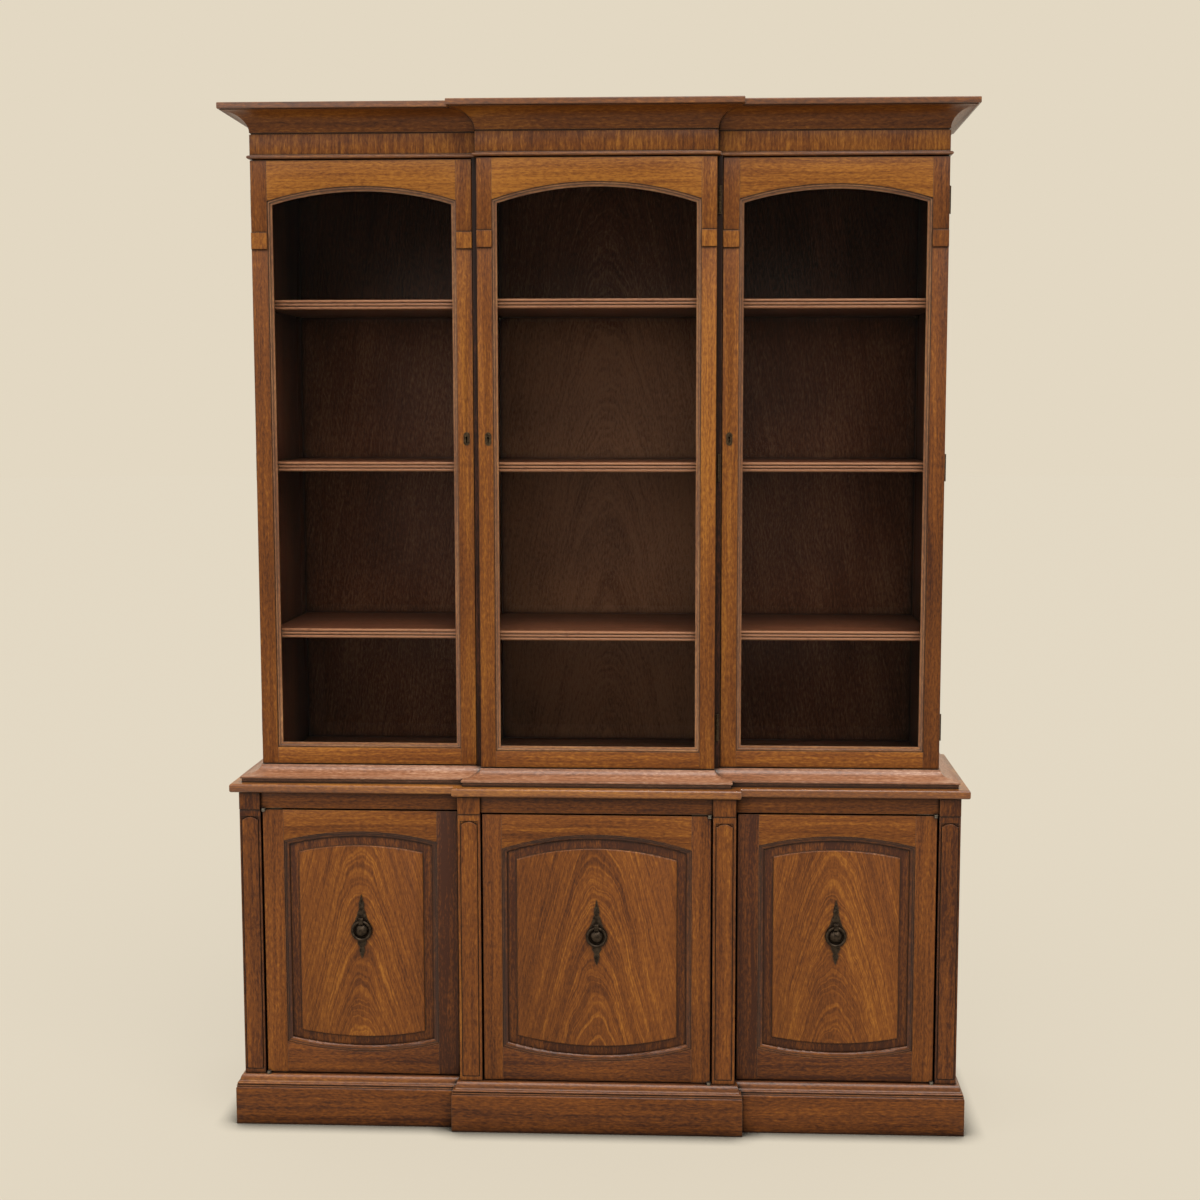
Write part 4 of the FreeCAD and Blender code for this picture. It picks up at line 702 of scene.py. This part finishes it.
def make_floor():
    """A pale floor that takes part of its light as its own, so that shadows on it stay faint."""
    s = Shader("floor")
    unseen = s.add("BsdfDiffuse", [("Color", FLOOR_UNSEEN)])
    near = s.add("AmbientOcclusion", [("Distance", CONTACT_REACH)], samples=CONTACT_SAMPLES).outputs["AO"]
    contact = s.ranged(near, CONTACT_FULL, CONTACT_END, 1.0, 0.0)
    lit_colour = tuple(level / FLOOR_LIGHT for level in BACKDROP[:3]) + (1.0,)
    lit = s.add("BsdfDiffuse", [("Color", s.mix(contact, lit_colour, CONTACT_SHADOW))])
    glow = s.add("Emission", [("Color", s.mix(contact, BACKDROP, CONTACT_SHADOW))])
    shown = s.add("MixShader", [("Fac", SHADOW_SHARE), (1, glow.outputs[0]), (2, lit.outputs[0])])
    both = s.add("MixShader", [("Fac", seen_as_backdrop(s)), (1, unseen.outputs[0]), (2, shown.outputs[0])])
    mesh = bpy.data.meshes.new("floor")
    turns = [math.tau * side / FLOOR_SIDES for side in range(FLOOR_SIDES)]
    corners = [(FLOOR_RADIUS * math.cos(turn), FLOOR_RADIUS * math.sin(turn), 0) for turn in turns]
    mesh.from_pydata(corners, [], [list(range(FLOOR_SIDES))])
    mesh.materials.append(s.finish(both))
    floor = bpy.data.objects.new("floor", mesh)
    bpy.context.scene.collection.objects.link(floor)


def make_world():
    """A sky that is brighter overhead, shown to the camera as the plain backdrop."""
    world = bpy.data.worlds.new("studio")
    bpy.context.scene.world = world
    world.use_nodes = True
    w = Nodes(world.node_tree, "World")
    height = w.add("SeparateXYZ", [(0, w.add("TexCoord").outputs["Generated"])]).outputs["Z"]
    strength = w.ranged(height, 0.0, 1.0, SKY_LOW, SKY_HIGH)
    sky = w.add("Background", [("Color", SKY_COLOUR), ("Strength", strength)]).outputs[0]
    plain = w.add("Background", [("Color", BACKDROP)]).outputs[0]
    w.finish(w.add("MixShader", [("Fac", seen_as_backdrop(w)), (1, sky), (2, plain)]))


def make_lights():
    for name, light in LIGHTS.items():
        lamp = bpy.data.lights.new(name, "SUN")
        lamp.energy = light["strength"]
        lamp.angle = math.radians(LIGHT_WIDTH)
        lamp.color = light["colour"]
        holder = bpy.data.objects.new(name, lamp)
        turn, rise = math.radians(light["azimuth"]), math.radians(light["elevation"])
        towards = Vector((math.sin(turn) * math.cos(rise), -math.cos(turn) * math.cos(rise), math.sin(rise)))
        holder.rotation_euler = towards.to_track_quat("Z", "Y").to_euler()
        bpy.context.scene.collection.objects.link(holder)


# Making

make_camera()
make_floor()
make_world()
make_lights()

plain_wood = wood("plain_wood")
moulded_wood = wood("moulded_wood", rub_and_highlight_share=0.7, dark_share=0.25, shine=0.5, coat=0.45)
panel_mould = wood("panel_moulding", rub_and_highlight_share=0.2, dark_share=0.95, shine=0.35, coat=0.1, dim=0.42,
                   hollow=0.6)
rubbed_sheen_wood = wood("rubbed_sheen_wood", rub_and_highlight_share=0.6, dark_share=0.5, shine=0.4, coat=0.3, hollow=0.7,
                   palette=RUBBED_WITH_SHEEN, contrast=0.7)
bead_wood = wood("bead_moulding", dark_share=0.5, shine=0.4, coat=0.2, hollow=0.95)
sight_wood = wood("sight_moulding", rub_and_highlight_share=0.8, shine=0.5, coat=0.4, palette=SOFT_RUBBED_WITH_SHEEN)
inner_wood = wood("inner_wood", dim=0.08, rub_and_highlight_share=0.3, corners=0.5, shine=0.15, coat=0.0, palette=SHADED,
                  top_shade=0.25)
shelf_wood = wood("shelf_wood", dim=0.04, rub_and_highlight_share=0.4, dark_share=0.2, shine=0.2, coat=0.05,
                  palette=SHADED, top_shade=0.1, gaps=0.0)
crown_wood = wood("crown_veneer", crown=(0.06, 0.22), dark_share=0.95, dim=0.10, mottled=0.85)
band_wood = wood("cross_banding", leaf=0.055, dim=0.40, ripple=0.3)
frieze_wood = wood("frieze_veneer", leaf=0.11, leaf_tone=0.5, ripple=0.6)
back_wood = wood("back_veneer", crown=(0.10, 0.16), contrast=0.6, dim=-0.03, rub_and_highlight_share=0.0, dark_share=0.0,
                 corners=0.45, shine=0.15, coat=0.0, palette=SHADED, top_shade=0.40, middle_lift=0.36)
rear_wood = wood("rear_wood", dim=0.02, rub_and_highlight_share=0.3, dark_share=0.5, shine=0.15, coat=0.0, palette=SHADED)
bronze = metal("dark_bronze", low=srgb(36, 29, 23), high=srgb(74, 62, 50), edge=srgb(128, 112, 92),
               roughness=0.42, patina_rate=160.0)
brass = metal("dull_brass", low=srgb(42, 33, 26), high=srgb(88, 72, 52), edge=srgb(150, 128, 96),
              roughness=0.42, patina_rate=220.0)
leaf_brass = metal("grey_brass", low=srgb(88, 82, 74), high=srgb(150, 142, 128), edge=srgb(190, 182, 166),
                   roughness=0.42, patina_rate=220.0)
steel = metal("steel", low=srgb(110, 110, 108), high=srgb(150, 150, 148), edge=srgb(200, 200, 196),
              roughness=0.35, patina_rate=220.0)
pane = glass()

# What each node is made of: by its slot, by the end of its name or by its name

BY_SLOT = {"glass": pane, "bronze": bronze, "brass": brass, "steel": steel}
BY_ENDING = {
    "_panel": ([band_wood, crown_wood, panel_mould], by_piece),
    "_back": ([back_wood, rear_wood], inside_and_rear),
    "_ends": ([inner_wood, plain_wood], inside_and_end),
    "_mouldings": ([sight_wood], one_material),
    "frieze_boards": ([frieze_wood, rear_wood], front_and_rear),
}
BY_NAME = {
    "upper_partitions": inner_wood, "upper_floor": inner_wood, "upper_top": inner_wood,
    "base_partitions": inner_wood, "base_floor": inner_wood, "base_shelves": inner_wood,
    "shelves_left": shelf_wood, "shelves_centre": shelf_wood, "shelves_right": shelf_wood,
    "cornice_top": moulded_wood, "frieze_bead": moulded_wood, "waist_slab": moulded_wood,
    "waist_moulding": rubbed_sheen_wood, "plinth_moulding": bead_wood,
}


def wooden_dress(name):
    """A wooden node's materials, and the rule that spreads them over it."""
    for ending, materials_and_rule in BY_ENDING.items():
        if name.endswith(ending):
            return materials_and_rule
    return [BY_NAME.get(name, plain_wood)], one_material


for name, node in sorted(frame["nodes"].items()):
    if SLOT_OF[name] in BY_SLOT:
        metal_or_glass = leaf_brass if "knife_leaves" in name else BY_SLOT[SLOT_OF[name]]
        node.material_slots[0].material = metal_or_glass
    else:
        dress(name, *wooden_dress(name))

bpy.context.scene.view_settings.view_transform = "Standard"
